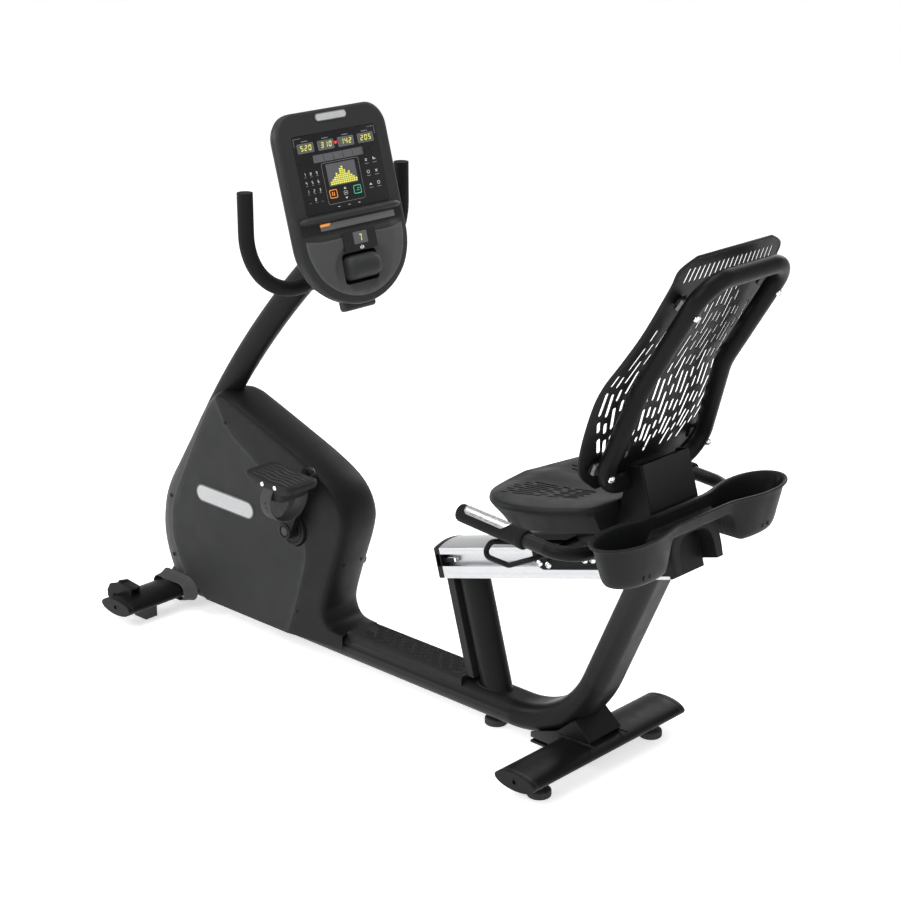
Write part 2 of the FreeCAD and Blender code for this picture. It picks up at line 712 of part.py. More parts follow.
def rear_zone():
    """Region of the darker rear moulding: behind a curved seam past the crank."""
    seam = [V(648, -100, 700), V(641, -100, 568), V(592, -100, 496), V(521, -100, 452),
            V(400, -100, 372), V(344, -100, 275), V(367, -100, 165), V(410, -100, 53),
            V(420, -100, 20)]
    corners = seam + [V(100, -100, 20), V(100, -100, 700)]
    face = Part.Face(Part.makePolygon(corners + corners[:1]))
    return face.extrude(V(0, 200, 0))


def boot_block():
    """Rounded collar that the front stabiliser comes out of."""
    block = box(744, 880, SHROUD_HALF + 0.3, SHROUD_HALF + 7, 24, 80)
    ends = [edge for edge in block.Edges if abs(edge.tangentAt(0).y) > 0.9]
    return block.makeFillet(22, ends)


def make_boot_collars():
    return both_sides(boot_block().cut(stabiliser_bar(FRONT_STAB_X, 300)))


def make_badges():
    """Two plain pills: one on the shroud's left side, one at the console's head."""
    def pill(length, height, thick):
        radius = height / 2
        bar = box(-length / 2 + radius, length / 2 - radius, 0, thick, -radius, radius)
        ends = [disc_y(x, 0, 0, thick, radius) for x in (-length / 2 + radius,
                                                          length / 2 - radius)]
        return fused([bar] + ends)

    side = pill(202, 34, 2.5)
    side.rotate(ORIGIN, Y_AXIS, -5)
    side.translate(V(616, SHROUD_HALF, 317))
    top = pill(90, 17, 2)
    top.rotate(ORIGIN, Z_AXIS, 90)
    top.translate(V(0, 0, 203))
    return Part.makeCompound([side, on_console(top)])


SCREW_PLACES = ((606, 512), (815, 282), (815, 130), (378, 108), (262, 330))


def make_shroud_screws():
    heads = []
    for x, z in SCREW_PLACES:
        head = disc_y(x, z, SHROUD_HALF, SHROUD_HALF + 2, 5)
        heads += [head, mirrored(head)]
    return Part.makeCompound(heads)


# ===========================================================================
# drive
# ===========================================================================
def make_drive_plates():
    outline = [(330, 70), (330, 120), (345, 330), (380, 350), (425, 330), (590, 272),
               (630, 262), (640, 225), (650, 120), (650, 70)]
    plate = side_plate(outline, PLATE_INNER, PLATE_OUTER)
    plate = plate.cut(disc_y(CRANK_X, CRANK_Z, 0, 60, BEARING_RADIUS))
    plate = plate.cut(disc_y(ROTOR_X, ROTOR_Z, 0, 60, ROTOR_AXLE))
    return both_sides(plate.cut(base_sweep(0)))


def make_crank_bearings():
    ring = ring_y(CRANK_X, CRANK_Z, PLATE_INNER - 3, PLATE_OUTER + 3, BEARING_RADIUS,
                  CRANK_AXLE + RUNNING_GAP)
    return both_sides(ring)


def make_crank_axle():
    return disc_y(CRANK_X, CRANK_Z, -CRANK_OUTER - 2, CRANK_OUTER + 2, CRANK_AXLE)


def make_crank_pulley():
    rim = ring_y(CRANK_X, CRANK_Z, PULLEY_OUTER, PULLEY_INNER, BIG_PULLEY, BIG_PULLEY - 8)
    web = disc_y(CRANK_X, CRANK_Z, -24, -19, BIG_PULLEY - 4)
    hub = disc_y(CRANK_X, CRANK_Z, PULLEY_OUTER, PULLEY_INNER, 24)
    wheel = fused([rim, web, hub])
    for step in range(6):
        angle = math.radians(60 * step)
        x, z = CRANK_X + 64 * math.cos(angle), CRANK_Z + 64 * math.sin(angle)
        wheel = wheel.cut(disc_y(x, z, -40, 0, 24))
    return wheel.cut(disc_y(CRANK_X, CRANK_Z, -60, 0, CRANK_AXLE))


def crank_end(side):
    """Where a crank arm ends: side 1 is the left arm, -1 the right."""
    lean = math.radians(CRANK_LEAN)
    return (CRANK_X - side * CRANK_LENGTH * math.sin(lean),
            CRANK_Z + side * CRANK_LENGTH * math.cos(lean))


def make_crank_arm(side):
    """Arm with its round dust disc inboard and its pedal spindle outboard."""
    end_x, end_z = crank_end(side)
    across = V(math.cos(math.radians(CRANK_LEAN)), 0, math.sin(math.radians(CRANK_LEAN)))
    root, tip = V(CRANK_X, 0, CRANK_Z), V(end_x, 0, end_z)
    corners = [root + across * 17, tip + across * 14, tip - across * 14, root - across * 17]
    bar = side_plate([(p.x, p.z) for p in corners], CRANK_INNER, CRANK_OUTER)
    boss = disc_y(CRANK_X, CRANK_Z, CRANK_INNER - 6, CRANK_OUTER, 20)
    disc = disc_y(CRANK_X, CRANK_Z, SHROUD_HALF - 5, CRANK_INNER - 6, DISC_RADIUS)
    eye = disc_y(end_x, end_z, CRANK_INNER, CRANK_OUTER, 15)
    arm = fused([bar, boss, disc, eye])
    arm = arm.cut(disc_y(CRANK_X, CRANK_Z, 0, 100, CRANK_AXLE))
    spindle = disc_y(end_x, end_z, CRANK_OUTER, PEDAL_OUTER - 6, SPINDLE)
    arm = fused([arm, spindle])
    return arm if side > 0 else mirrored(arm)


def make_pedal(side):
    """Foot plate with a bulky underside, so that it hangs level."""
    end_x, end_z = crank_end(side)
    outline = [(-64, 2), (-60, 10), (-30, 10), (26, 12), (74, 19), (88, 19), (87, 11), (60, 2),
               (36, -3), (26.5, -34), (-29.5, -34), (-62, -12)]
    plate = side_plate([(end_x + x, end_z + z) for x, z in outline], PEDAL_INNER, PEDAL_OUTER)
    plate = plate.cut(disc_y(end_x, end_z, 0, 300, SPINDLE + RUNNING_GAP))
    return plate if side > 0 else mirrored(plate)


def make_pedal_strap(side):
    """Broad strap looped under the foot plate from edge to edge."""
    end_x, end_z = crank_end(side)
    middle = (PEDAL_INNER + PEDAL_OUTER) / 2
    half = (PEDAL_OUTER - PEDAL_INNER) / 2

    def loop(grow):
        low = V(0, middle, end_z - 86 - grow)
        left = V(0, middle - half - grow, end_z - 4)
        right = V(0, middle + half + grow, end_z - 4)
        arc = Part.Arc(left, low, right).toShape()
        face = Part.Face(Part.Wire([arc, Part.LineSegment(right, left).toShape()]))
        face.translate(V(end_x - 14, 0, 0))
        return face.extrude(V(34, 0, 0))

    outer, inner = loop(2.5), loop(0)
    band = outer.cut(inner)
    keep = box(end_x - 200, end_x + 200, 0, 400, end_z - 200, end_z - 4)
    plate = make_pedal(1).common(box(-1000, 1500, -10, 400, 0, 1000)) if side > 0 else \
        mirrored(make_pedal(-1))
    spindle_gap = disc_y(end_x, end_z, PEDAL_INNER - 20, PEDAL_OUTER + 20, SPINDLE + 1)
    band = band.common(keep).cut(plate).cut(spindle_gap)
    return band if side > 0 else mirrored(band)


def belt_outline(grow, y):
    """Closed tangent loop round the two pulleys, grown outwards."""
    big, small = V(CRANK_X, y, CRANK_Z), V(ROTOR_X, y, ROTOR_Z)
    big_r, small_r = BIG_PULLEY + grow, SMALL_PULLEY + grow
    line = small - big
    heading = math.atan2(line.z, line.x)
    spread = math.acos((big_r - small_r) / line.Length)

    def at(centre, radius, angle):
        return centre + V(radius * math.cos(angle), 0, radius * math.sin(angle))

    up, down = heading + spread, heading - spread
    edges = [Part.Arc(at(big, big_r, up), at(big, big_r, heading + math.pi),
                      at(big, big_r, down)).toShape(),
             Part.LineSegment(at(big, big_r, down), at(small, small_r, down)).toShape(),
             Part.Arc(at(small, small_r, down), at(small, small_r, heading),
                      at(small, small_r, up)).toShape(),
             Part.LineSegment(at(small, small_r, up), at(big, big_r, up)).toShape()]
    return Part.Wire(edges)


def make_drive_belt():
    y0, y1 = PULLEY_OUTER + 1, PULLEY_INNER - 1
    outer = Part.Face(belt_outline(BELT_GAP + BELT_THICK, y0)).extrude(V(0, y1 - y0, 0))
    inner = Part.Face(belt_outline(BELT_GAP, y0)).extrude(V(0, y1 - y0, 0))
    return outer.cut(inner)


def make_generator_rotor():
    """Magnet ring and web in one piece with the small pulley."""
    pulley = disc_y(ROTOR_X, ROTOR_Z, PULLEY_OUTER, PULLEY_INNER, SMALL_PULLEY)
    web = disc_y(ROTOR_X, ROTOR_Z, -11, -5, ROTOR_RADIUS)
    hub = disc_y(ROTOR_X, ROTOR_Z, PULLEY_INNER, 4, 17)
    rim = ring_y(ROTOR_X, ROTOR_Z, -11, 30, ROTOR_RADIUS, ROTOR_BORE)
    bore = disc_y(ROTOR_X, ROTOR_Z, -60, 60, ROTOR_AXLE + RUNNING_GAP)
    return fused([pulley, web, hub, rim]).cut(bore)


def make_generator_stator():
    """Wound core on the fixed spindle, inside the magnet ring."""
    core = disc_y(ROTOR_X, ROTOR_Z, 6, 28, 30)
    spindle = disc_y(ROTOR_X, ROTOR_Z, -PLATE_OUTER - 3, PLATE_OUTER + 3, ROTOR_AXLE)
    teeth = []
    for step in range(12):
        tooth = box(28, ROTOR_BORE - 4, 8, 26, -6, 6)
        tooth.rotate(ORIGIN, Y_AXIS, 30 * step)
        tooth.translate(V(ROTOR_X, 0, ROTOR_Z))
        teeth.append(tooth)
    return fused([core, spindle] + teeth)


# ===========================================================================
# seat
# ===========================================================================
def make_carriage():
    """Folded steel saddle over the rail: two side plates and a top plate."""
    low, top = CARRIAGE_LOW, CARRIAGE_TOP
    outline = [(CARRIAGE_FRONT, 46), (CARRIAGE_FRONT, top), (CARRIAGE_BACK, top),
               (CARRIAGE_BACK, low + 12), (CARRIAGE_BACK + 12, low), (CARRIAGE_FRONT - 22, low),
               (CARRIAGE_FRONT - 8, low + 8)]
    cheek = side_plate(outline, CARRIAGE_PLATE_IN, CARRIAGE_PLATE_OUT)
    for along in ROLLER_PLACES.values():
        cheek = cheek.cut(disc_y(along, ROLLER_UP, 40, 70, ROLLER_PIN))
    cheek = cheek.cut(disc_y(LEVER_ALONG, LEVER_UP, 40, 70, LEVER_SHAFT + RUNNING_GAP))
    lid = box(CARRIAGE_BACK, CARRIAGE_FRONT, -BRACKET_HALF, BRACKET_HALF, top,
              top + CARRIAGE_SKIN)
    return on_rail(fused([cheek, mirrored(cheek), lid]))


def make_seat_bolts():
    """Roller axle bolts in the carriage and dome bolts on the back frame."""
    bolts = []
    for along in ROLLER_PLACES.values():
        shank = disc_y(along, ROLLER_UP, RAIL_WEB_HALF + 1, CARRIAGE_PLATE_OUT, ROLLER_PIN)
        head = disc_y(along, ROLLER_UP, CARRIAGE_PLATE_OUT, CARRIAGE_PLATE_OUT + 6, 9)
        bolt = on_rail(fused([shank, head]))
        bolts += [bolt, mirrored(bolt)]
    for along in (-322.0, -415.0):
        head = disc_y(along, ROLLER_UP - 2, CARRIAGE_PLATE_OUT, CARRIAGE_PLATE_OUT + 5, 8)
        bolt = on_rail(head)
        bolts += [bolt, mirrored(bolt)]
    for centre, normal in clip_places():
        dome = rod(centre - normal * BACK_TUBE, centre - normal * (BACK_TUBE + 5), 7)
        bolts += [dome, mirrored(dome)]
    return Part.makeCompound(bolts)


def make_rollers(along):
    ring = ring_y(along, ROLLER_UP, RAIL_WEB_HALF + 2.5, RAIL_HALF - 6, ROLLER_RADIUS,
                  ROLLER_PIN + RUNNING_GAP)
    return both_sides(on_rail(ring))


def make_release_lever():
    """One bent bar: a cross shaft through the carriage and a finger loop on each side."""
    shaft = rod(rail_point(LEVER_ALONG, -90, LEVER_UP), rail_point(LEVER_ALONG, 90, LEVER_UP),
                LEVER_SHAFT)
    pivot = rail_point(LEVER_ALONG, 83, LEVER_UP)
    squeeze = V(-372, 206, 487)
    rear_half = round_bar([pivot, V(-474, 198, 520), V(-404, 206, 486), squeeze], [20, 14],
                          LEVER_ROD)
    front_half = round_bar([pivot, V(-352, 200, 520), V(-336, 206, 489), squeeze], [12, 12],
                           LEVER_ROD)
    left = rear_half.fuse(front_half)
    return fused([shaft, left, mirrored(left)])


def make_lock_shoe():
    """Brake shoe that the lever lifts off the rail's crown."""
    shoe = box(LEVER_ALONG - 60, LEVER_ALONG - 12, -16, 16, RAIL_CROWN + SHOE_GAP, CARRIAGE_TOP - 8)
    return on_rail(shoe)


def pan_wire(points, front_z, back_z):
    """Seat-pan outline on a sloping plane: a curve round the front, straight at the back."""
    front_x, back_x = points[0][0], points[-1][0]

    def height(x):
        return front_z + (back_z - front_z) * (front_x - x) / (front_x - back_x)

    left = [V(x, y, height(x)) for x, y in reversed(points)]
    right = [V(x, -y, height(x)) for x, y in points[1:]]
    curve = Part.BSplineCurve()
    curve.interpolate(left + right)
    back = Part.LineSegment(right[-1], left[0]).toShape()
    return Part.Wire([curve.toShape(), back])


PAN_LOW_FRONT = 541.0
PAN_LOW_BACK = 574.0
PAN_TOP = [(-260, 0), (-269, 70), (-293, 136), (-342, 190), (-404, 211), (-480, 199),
           (-540, 166), (-564, 142)]


def pan_loft(inset, drop):
    top = [(x - inset * (1 if index < 5 else -1), max(0, y - inset * (index > 0)))
           for index, (x, y) in enumerate(PAN_TOP)]
    bottom = [(-292 - 0.9 * (-262 - x), 0.84 * y) for x, y in top]
    return Part.makeLoft([pan_wire(top, 600 - drop, 628 - drop),
                          pan_wire(bottom, PAN_LOW_FRONT - inset / 4, PAN_LOW_BACK - inset / 4)],
                         True, True)


def rail_level(x, up):
    """Height of a line parallel to the rail, a given distance above its underside."""
    lean = math.radians(RAIL_ANGLE)
    along = (x - RAIL_START.x - up * math.sin(lean)) / math.cos(lean)
    return rail_point(along, 0, up).z


def make_seat_pan():
    """Moulded pan, hollow below, on two ribs that rest on the carriage."""
    shell = pan_loft(0, 0).cut(pan_loft(6, 6))
    rest_front = rail_level(-335, CARRIAGE_TOP + CARRIAGE_SKIN)
    rest_back = rail_level(-545, CARRIAGE_TOP + CARRIAGE_SKIN)
    upper = side_plate([(-335, 530), (-335, 660), (-545, 660), (-545, 560)], 40, 44)
    lower = side_plate([(-335, rest_front), (-335, 550), (-545, 582), (-545, rest_back)], 40, 44)
    rib = upper.common(pan_loft(5, 5)).fuse(lower)
    return fused([shell, rib, mirrored(rib)])


# x, z and half-width of the back tube's corners from its foot up, and the bends there
BACK_LINE = ((-577, 668, 155), (-652, 880, 125), (-790, 1100, 125))
BACK_BENDS = [60, 160, 55]


def back_route():
    """Left half of the back tube's loop, from the middle of its foot to its top."""
    side = [V(x, half, z) for x, z, half in BACK_LINE]
    return [V(side[0].x, 0, side[0].z)] + side + [V(side[2].x, 0, side[2].z)]


def make_back_frame():
    half = round_tube(back_route(), BACK_BENDS, BACK_TUBE, BACK_TUBE - BACK_WALL)
    return fused([half, mirrored(half)])


def clip_places():
    """Centre of the tube at each clip on the left, and the direction to the shell."""
    low, kink, high = BACK_LINE
    places = []
    for start, end, share in ((low, kink, 0.17), (kink, high, 0.74)):
        point = V(start[0] + share * (end[0] - start[0]), start[2] + share * (end[2] - start[2]),
                  start[1] + share * (end[1] - start[1]))
        lean = math.atan2(start[0] - end[0], end[1] - start[1])
        places.append((point, V(math.cos(lean), 0, math.sin(lean))))
    return places


SHELL_LEVELS = ((655, -541, 112, 4), (700, -558, 172, 8), (755, -583, 196, 12),
                (835, -611, 199, 14), (885, -629, 190, 13), (940, -662, 179, 10),
                (1000, -698, 166, 10), (1085, -738, 154, 6), (1120, -752, 150, 4),
                (1140, -759, 112, 2))
SHELL_THICK = 4.0


def shell_section(level):
    """Closed slice across the back shell: front curve, rear curve and two short ends."""
    z, x, half, wrap = level

    def curve(offset):
        return Part.Arc(V(x + wrap - offset, half, z), V(x - offset, 0, z),
                        V(x + wrap - offset, -half, z)).toShape()

    front, rear = curve(0), curve(SHELL_THICK)
    left = Part.LineSegment(V(x + wrap - SHELL_THICK, half, z), V(x + wrap, half, z)).toShape()
    right = Part.LineSegment(V(x + wrap, -half, z),
                             V(x + wrap - SHELL_THICK, -half, z)).toShape()
    return Part.Wire(Part.__sortEdges__([front, right, rear, left]))


def make_back_shell():
    return Part.makeLoft([shell_section(level) for level in SHELL_LEVELS], True, True)


def make_back_clips():
    """Round bosses between the tube and the shell."""
    shell = make_back_shell()
    tube = make_back_frame_core()
    clips = []
    for centre, normal in clip_places():
        boss = rod(centre, centre + normal * 60, 10)
        plate_start = centre + normal * (BACK_TUBE + 5)
        plate = rod(plate_start, plate_start + normal * 3, 17)
        clip = fused([boss, plate]).cut(shell).cut(tube)
        near = [solid for solid in clip.Solids
                if (solid.CenterOfMass - plate_start).Length < 14]
        clips += [near[0], mirrored(near[0])]
    return Part.makeCompound(clips)


def make_back_frame_core():
    """Left half of the back tube without its bore, for cutting its neighbours."""
    return round_bar(back_route(), BACK_BENDS, BACK_TUBE)


def make_back_bracket():
    """Upright box on the carriage that takes the back tube's foot."""
    cheek = side_plate([(-587, 231), (-615, 229), (-617, 104), (-470, 104), (-545, 150)],
                       BRACKET_HALF - 4, BRACKET_HALF)
    back = box(-617, -613, -BRACKET_HALF + 4, BRACKET_HALF - 4, 104, 229)
    flange = box(-632, -617, -BRACKET_HALF, BRACKET_HALF, 128, 132)
    folded = on_rail(fused([cheek, mirrored(cheek), back, flange]))
    core = make_back_frame_core()
    return folded.cut(core).cut(mirrored(core)).cut(pan_loft(0, 0))


def tub_wire(z, y, half_x, half_y):
    centre = V(TUB_X, y, z)
    curve = Part.Ellipse(centre + V(0, half_y, 0), centre + V(half_x, 0, 0), centre)
    return Part.Wire(curve.toShape())


def tub(y, shrink, floor):
    """Tapered oval tub, or the space inside it."""
    top = tub_wire(TUB_TOP, y, TUB_HALF_X - shrink, TUB_HALF_Y - shrink)
    share = (TUB_TOP - floor) / (TUB_TOP - TUB_FLOOR)
    low = tub_wire(floor, y - 15 * share * (1 if y > 0 else -1),
                   TUB_HALF_X - 14 * share - shrink, TUB_HALF_Y - 22 * share - shrink)
    return Part.makeLoft([top, low], True, True)


def make_cup_holder():
    """Two oval tubs joined by a shallow trough behind the seat."""
    outside = [tub(y, 0, TUB_FLOOR) for y in (TUB_Y, -TUB_Y)]
    trough = box(TUB_X - 28, TUB_X + 28, -130, 130, TUB_TOP - TROUGH_DEPTH, TUB_TOP)
    lips = []
    for y in (TUB_Y, -TUB_Y):
        wire = tub_wire(TUB_TOP - 3, y, TUB_HALF_X + TUB_LIP, TUB_HALF_Y + TUB_LIP)
        lips.append(Part.Face(wire).extrude(V(0, 0, 3)))
    lips.append(box(TUB_X - 33, TUB_X + 33, -130, 130, TUB_TOP - 3, TUB_TOP))
    solid = fused(outside + [trough] + lips)
    for y in (TUB_Y, -TUB_Y):
        space = tub(y, TUB_WALL, TUB_FLOOR + TUB_WALL)
        lid = Part.Face(tub_wire(TUB_TOP - 3.5, y, TUB_HALF_X - TUB_WALL,
                                 TUB_HALF_Y - TUB_WALL)).extrude(V(0, 0, 10))
        solid = solid.cut(space).cut(lid)
    inside = box(TUB_X - 25, TUB_X + 25, -128, 128, TUB_TOP - TROUGH_DEPTH + TUB_WALL,
                 TUB_TOP + 10)
    return solid.cut(inside).cut(make_back_bracket())


def make_carriage_rear_cover():
    """Arched cover round the rail behind the carriage."""
    block = box(-652, CARRIAGE_BACK - 2, -76, 76, 14, 96)
    ends = [edge for edge in block.Edges
            if abs(edge.tangentAt(0).x) > 0.9 and edge.Vertexes[0].Z > 50]
    block = block.makeFillet(20, ends)
    hollow = box(-649, CARRIAGE_BACK + 5, -72, 72, 0, 92)
    arch = box(-700, -500, -54, 54, 0, 84)
    return on_rail(block.cut(hollow).cut(arch)).cut(make_back_bracket())


def handle_route():
    inner = rail_point(-565, CARRIAGE_PLATE_OUT, 88)
    return [V(-330, GRIP_Y, 591), V(-602, GRIP_Y, 570), inner]


def make_side_handles():
    route = handle_route()
    tube = round_tube(route, [60], HANDLE_TUBE, HANDLE_TUBE - 2)
    tube = tube.cut(on_rail(box(-900, 0, -CARRIAGE_PLATE_OUT, CARRIAGE_PLATE_OUT, 0, 300)))
    return both_sides(tube.cut(make_carriage()))


def grip_line():
    front, corner, _ = handle_route()
    heading = (corner - front).normalize()
    return front, heading


def make_handle_grips():
    front, heading = grip_line()
    outer = rod(front - heading * 5, front + heading * 165, HANDLE_GRIP)
    inner = rod(front, front + heading * 170, HANDLE_TUBE)
    return both_sides(outer.cut(inner))


def make_pulse_plates():
    """Bright contact plate wrapped over the top of each grip."""
    front, heading = grip_line()
    start, end = front + heading * 14, front + heading * 122
    band = sleeve(start, end, HANDLE_GRIP + 1.0, HANDLE_GRIP)
    keep = box(-500, -300, GRIP_Y - 15, GRIP_Y + 15, front.z - 8, front.z + 60)
    return both_sides(band.common(keep))


# ===========================================================================
# build
# ===========================================================================
def main():
    os.makedirs("parts", exist_ok=True)

    write("base_frame", make_base_frame())
    write("front_post", make_front_post())
    write("post_cover", make_post_cover())
    write("step_deck", make_step_deck())
    write("front_stabiliser", make_stabiliser(FRONT_STAB_X))
    write("rear_stabiliser", make_stabiliser(REAR_STAB_X, REAR_FOOT_X))
    write("stabiliser_end_caps", make_stabiliser_end_caps())
    write("rear_saddle", make_rear_saddle())
    write("front_pads", make_front_pads())
    write("wheel_brackets", make_wheel_brackets())
    wheel = make_wheel()
    write("left_wheel", wheel)
    write("right_wheel", mirrored(wheel))
    write("rear_left_foot", make_foot(REAR_FOOT_X, REAR_FOOT_Y))
    write("rear_right_foot", make_foot(REAR_FOOT_X, -REAR_FOOT_Y))
    write("centre_foot", make_foot(CENTRE_FOOT_X, 0))

    write("seat_rail", make_seat_rail())
    write("rail_end_caps", make_rail_end_caps())

    write("mast", make_mast())
    write("handlebar", make_handlebar())
    write("handlebar_grips", make_handlebar_grips())
    write("console_rear_shell", make_console_rear_shell())
    write("console_front_shell", make_console_front_shell())
    write("display_overlay", make_display_overlay())
    write("display_windows", make_display_windows())
    write("resistance_paddle", make_paddle())

    shell = shroud_shell()
    zone = rear_zone()
    front = shell.cut(zone)
    write("shroud_left", front.common(box(0, 1200, 0, 200, 0, 900)))
    write("shroud_right", front.common(box(0, 1200, -200, 0, 0, 900)))
    write("shroud_rear_cover", shell.common(zone))
    write("boot_collars", make_boot_collars())
    write("badges", make_badges())
    write("shroud_screws", make_shroud_screws())

    write("drive_plates", make_drive_plates())
    write("crank_bearings", make_crank_bearings())
    write("crank_axle", make_crank_axle())
    write("crank_pulley", make_crank_pulley())
    write("left_crank_arm", make_crank_arm(1))
    write("right_crank_arm", make_crank_arm(-1))
    write("left_pedal", make_pedal(1))
    write("right_pedal", make_pedal(-1))
    write("left_pedal_strap", make_pedal_strap(1))
    write("right_pedal_strap", make_pedal_strap(-1))
    write("drive_belt", make_drive_belt())
    write("generator_rotor", make_generator_rotor())
    write("generator_stator", make_generator_stator())

    write("carriage", make_carriage())
    write("seat_bolts", make_seat_bolts())
    for name, along in ROLLER_PLACES.items():
        write(name, make_rollers(along))
    write("release_lever", make_release_lever())
    write("lock_shoe", make_lock_shoe())
    write("seat_pan", make_seat_pan())
    write("back_frame", make_back_frame())
    write("back_shell", make_back_shell())
    write("back_clips", make_back_clips())
    write("back_bracket", make_back_bracket())
    write("cup_holder", make_cup_holder())
    write("carriage_rear_cover", make_carriage_rear_cover())
    write("side_handles", make_side_handles())
    write("handle_grips", make_handle_grips())
    write("pulse_plates", make_pulse_plates())


main()
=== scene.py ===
import math
import random

import bmesh
import bpy
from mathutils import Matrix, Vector
from mathutils.geometry import delaunay_2d_cdt


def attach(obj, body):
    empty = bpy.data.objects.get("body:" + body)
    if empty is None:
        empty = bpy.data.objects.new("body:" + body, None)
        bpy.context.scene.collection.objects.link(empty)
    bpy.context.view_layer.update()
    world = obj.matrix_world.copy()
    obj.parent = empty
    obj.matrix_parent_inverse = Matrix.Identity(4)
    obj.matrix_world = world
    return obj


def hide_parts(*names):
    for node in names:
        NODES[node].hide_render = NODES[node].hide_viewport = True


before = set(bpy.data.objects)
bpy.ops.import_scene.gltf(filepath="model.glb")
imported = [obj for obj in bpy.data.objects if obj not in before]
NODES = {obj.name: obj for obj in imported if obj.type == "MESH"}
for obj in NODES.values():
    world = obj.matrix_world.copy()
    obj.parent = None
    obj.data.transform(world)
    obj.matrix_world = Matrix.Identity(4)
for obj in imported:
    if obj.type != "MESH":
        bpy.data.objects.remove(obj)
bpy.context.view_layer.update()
rng = random.Random(7)

# Lengths below are written in millimetres from the working origin under the seat rail,
# and turned into row metres by P().
MIDDLE_X = 42.0
RAIL_ANGLE = math.radians(15.6)
RAIL_START = (-85.0, 0.0, 321.0)
CONSOLE_FACE = (239.0, 0.0, 1056.0)
CONSOLE_LEAN = math.radians(15.5)
SIDES = ((1, "left"), (-1, "right"))
SHEEN = 0.13         # specular level of plastics and foam
COAT_SHEEN = 0.085   # and of powder coat
SMOOTH_ANGLE = 32.0
BEVEL_ANGLE = math.radians(35)
END_RINGS = 5        # rings in a rounded end of a bar


def P(x, y, z):
    """Working millimetres to row metres."""
    return Vector(((x - MIDDLE_X) / 1000, y / 1000, z / 1000))


def rail(along, y, up):
    """A point given along, across and square to the seat rail."""
    c, s = math.cos(RAIL_ANGLE), math.sin(RAIL_ANGLE)
    return P(RAIL_START[0] + along * c + up * s, y, RAIL_START[2] + up * c - along * s)


def face(depth, y, up):
    """A point on the console: depth away from the rider, y to the left, up the face."""
    c, s = math.cos(CONSOLE_LEAN), math.sin(CONSOLE_LEAN)
    return P(CONSOLE_FACE[0] + depth * c + up * s, y, CONSOLE_FACE[2] + up * c - depth * s)


# ---- materials ---------------------------------------------------
class Nodes:
    """Short calls that grow a node tree over the object's own coordinates."""

    def __init__(self, tree):
        self.nodes, self.links = tree.nodes, tree.links
        self.coords = self.nodes.new("ShaderNodeTexCoord").outputs

    def put(self, socket, value):
        """Link a socket, or set its plain value."""
        if isinstance(value, bpy.types.NodeSocket):
            self.links.new(value, socket)
        else:
            socket.default_value = value

    def add(self, kind, output, **inputs):
        """New node with its inputs filled by name, _ standing for a space."""
        node = self.nodes.new("ShaderNode" + kind)
        for name, value in inputs.items():
            self.put(node.inputs[name.replace("_", " ")], value)
        return node.outputs[output]

    def noise(self, scale, detail=4.0, rough=0.55, stretch=None, turn=0.0):
        """Noise value, stretched along an axis if asked."""
        vector = self.coords["Object"]
        if stretch is not None:
            vector = self.add("Mapping", "Vector", Vector=vector, Rotation=(0.0, turn, 0.0),
                              Scale=stretch)
        return self.add("TexNoise", "Fac", Vector=vector, Scale=scale, Detail=detail,
                        Roughness=rough)

    def cells(self, scale):
        """Distance to the middle of the nearest cell."""
        return self.add("TexVoronoi", "Distance", Vector=self.coords["Object"], Scale=scale)

    def ramp(self, value, low, high, out_low, out_high):
        """Rescale a value."""
        return self.add("MapRange", "Result", Value=value, From_Min=low, From_Max=high,
                        To_Min=out_low, To_Max=out_high)

    def wear(self, low=0.52, high=0.62):
        """How exposed an edge is, from 0 to 1."""
        return self.ramp(self.add("NewGeometry", "Pointiness"), low, high, 0.0, 1.0)

    def mix(self, factor, a, b):
        """Blend two colours, each a tuple or a socket."""
        node = self.nodes.new("ShaderNodeMix")
        node.data_type = "RGBA"
        self.put(node.inputs["Factor"], factor)
        for socket, value in (("A", a), ("B", b)):
            self.put(node.inputs[socket], (*value, 1.0) if isinstance(value, tuple) else value)
        return node.outputs["Result"]

    def blend(self, value, low, high, share, a, b):
        """Blend two colours up to a share, by a value between low and high."""
        return self.mix(self.ramp(value, low, high, 0.0, share), a, b)


class Surface(Nodes):
    """A Principled material."""

    def __init__(self, name):
        self.mat = bpy.data.materials.new(name)
        self.mat.use_nodes = True
        super().__init__(self.mat.node_tree)
        self.inputs = self.nodes["Principled BSDF"].inputs

    def finish(self, base, rough, heights=(), sheen=None, metallic=0.0):
        """Fill the shader; heights are (socket, strength, distance) of a chain of bumps."""
        self.put(self.inputs["Base Color"], base)
        self.put(self.inputs["Roughness"], rough)
        self.put(self.inputs["Metallic"], metallic)
        if sheen is not None:
            self.put(self.inputs["Specular IOR Level"], sheen)
        chain = {}
        for height, strength, distance in heights:
            chain["Normal"] = self.add("Bump", "Normal", Height=height, Strength=strength,
                                       Distance=distance, **chain)
        if chain:
            self.put(self.inputs["Normal"], chain["Normal"])
        return self.mat


def tint(colour, gain, lift=0.0):
    return tuple(min(1.0, c * gain + lift) for c in colour)


def moulded(name, colour, rough=0.48, grain=900.0, depth=0.35, edge=1.6, dust=0.25):
    """Injection-moulded plastic: leather-fine grain, scuffed edges, faint dust."""
    s = Surface(name)
    cloud = s.noise(7.0, 5.0)
    base = s.blend(cloud, 0.35, 0.75, dust, colour, tint(colour, 1.3, 0.0015))
    base = s.mix(s.wear(), base, tint(colour, edge, 0.006))
    fine = s.noise(grain * 1.7, 2.0)
    return s.finish(base, s.ramp(s.noise(21.0, 3.0), 0.3, 0.7, rough - 0.05, rough + 0.07),
                    ((s.cells(grain), depth, 0.0002), (fine, depth * 0.5, 0.0001),
                     (cloud, 0.05, 0.002)), SHEEN)


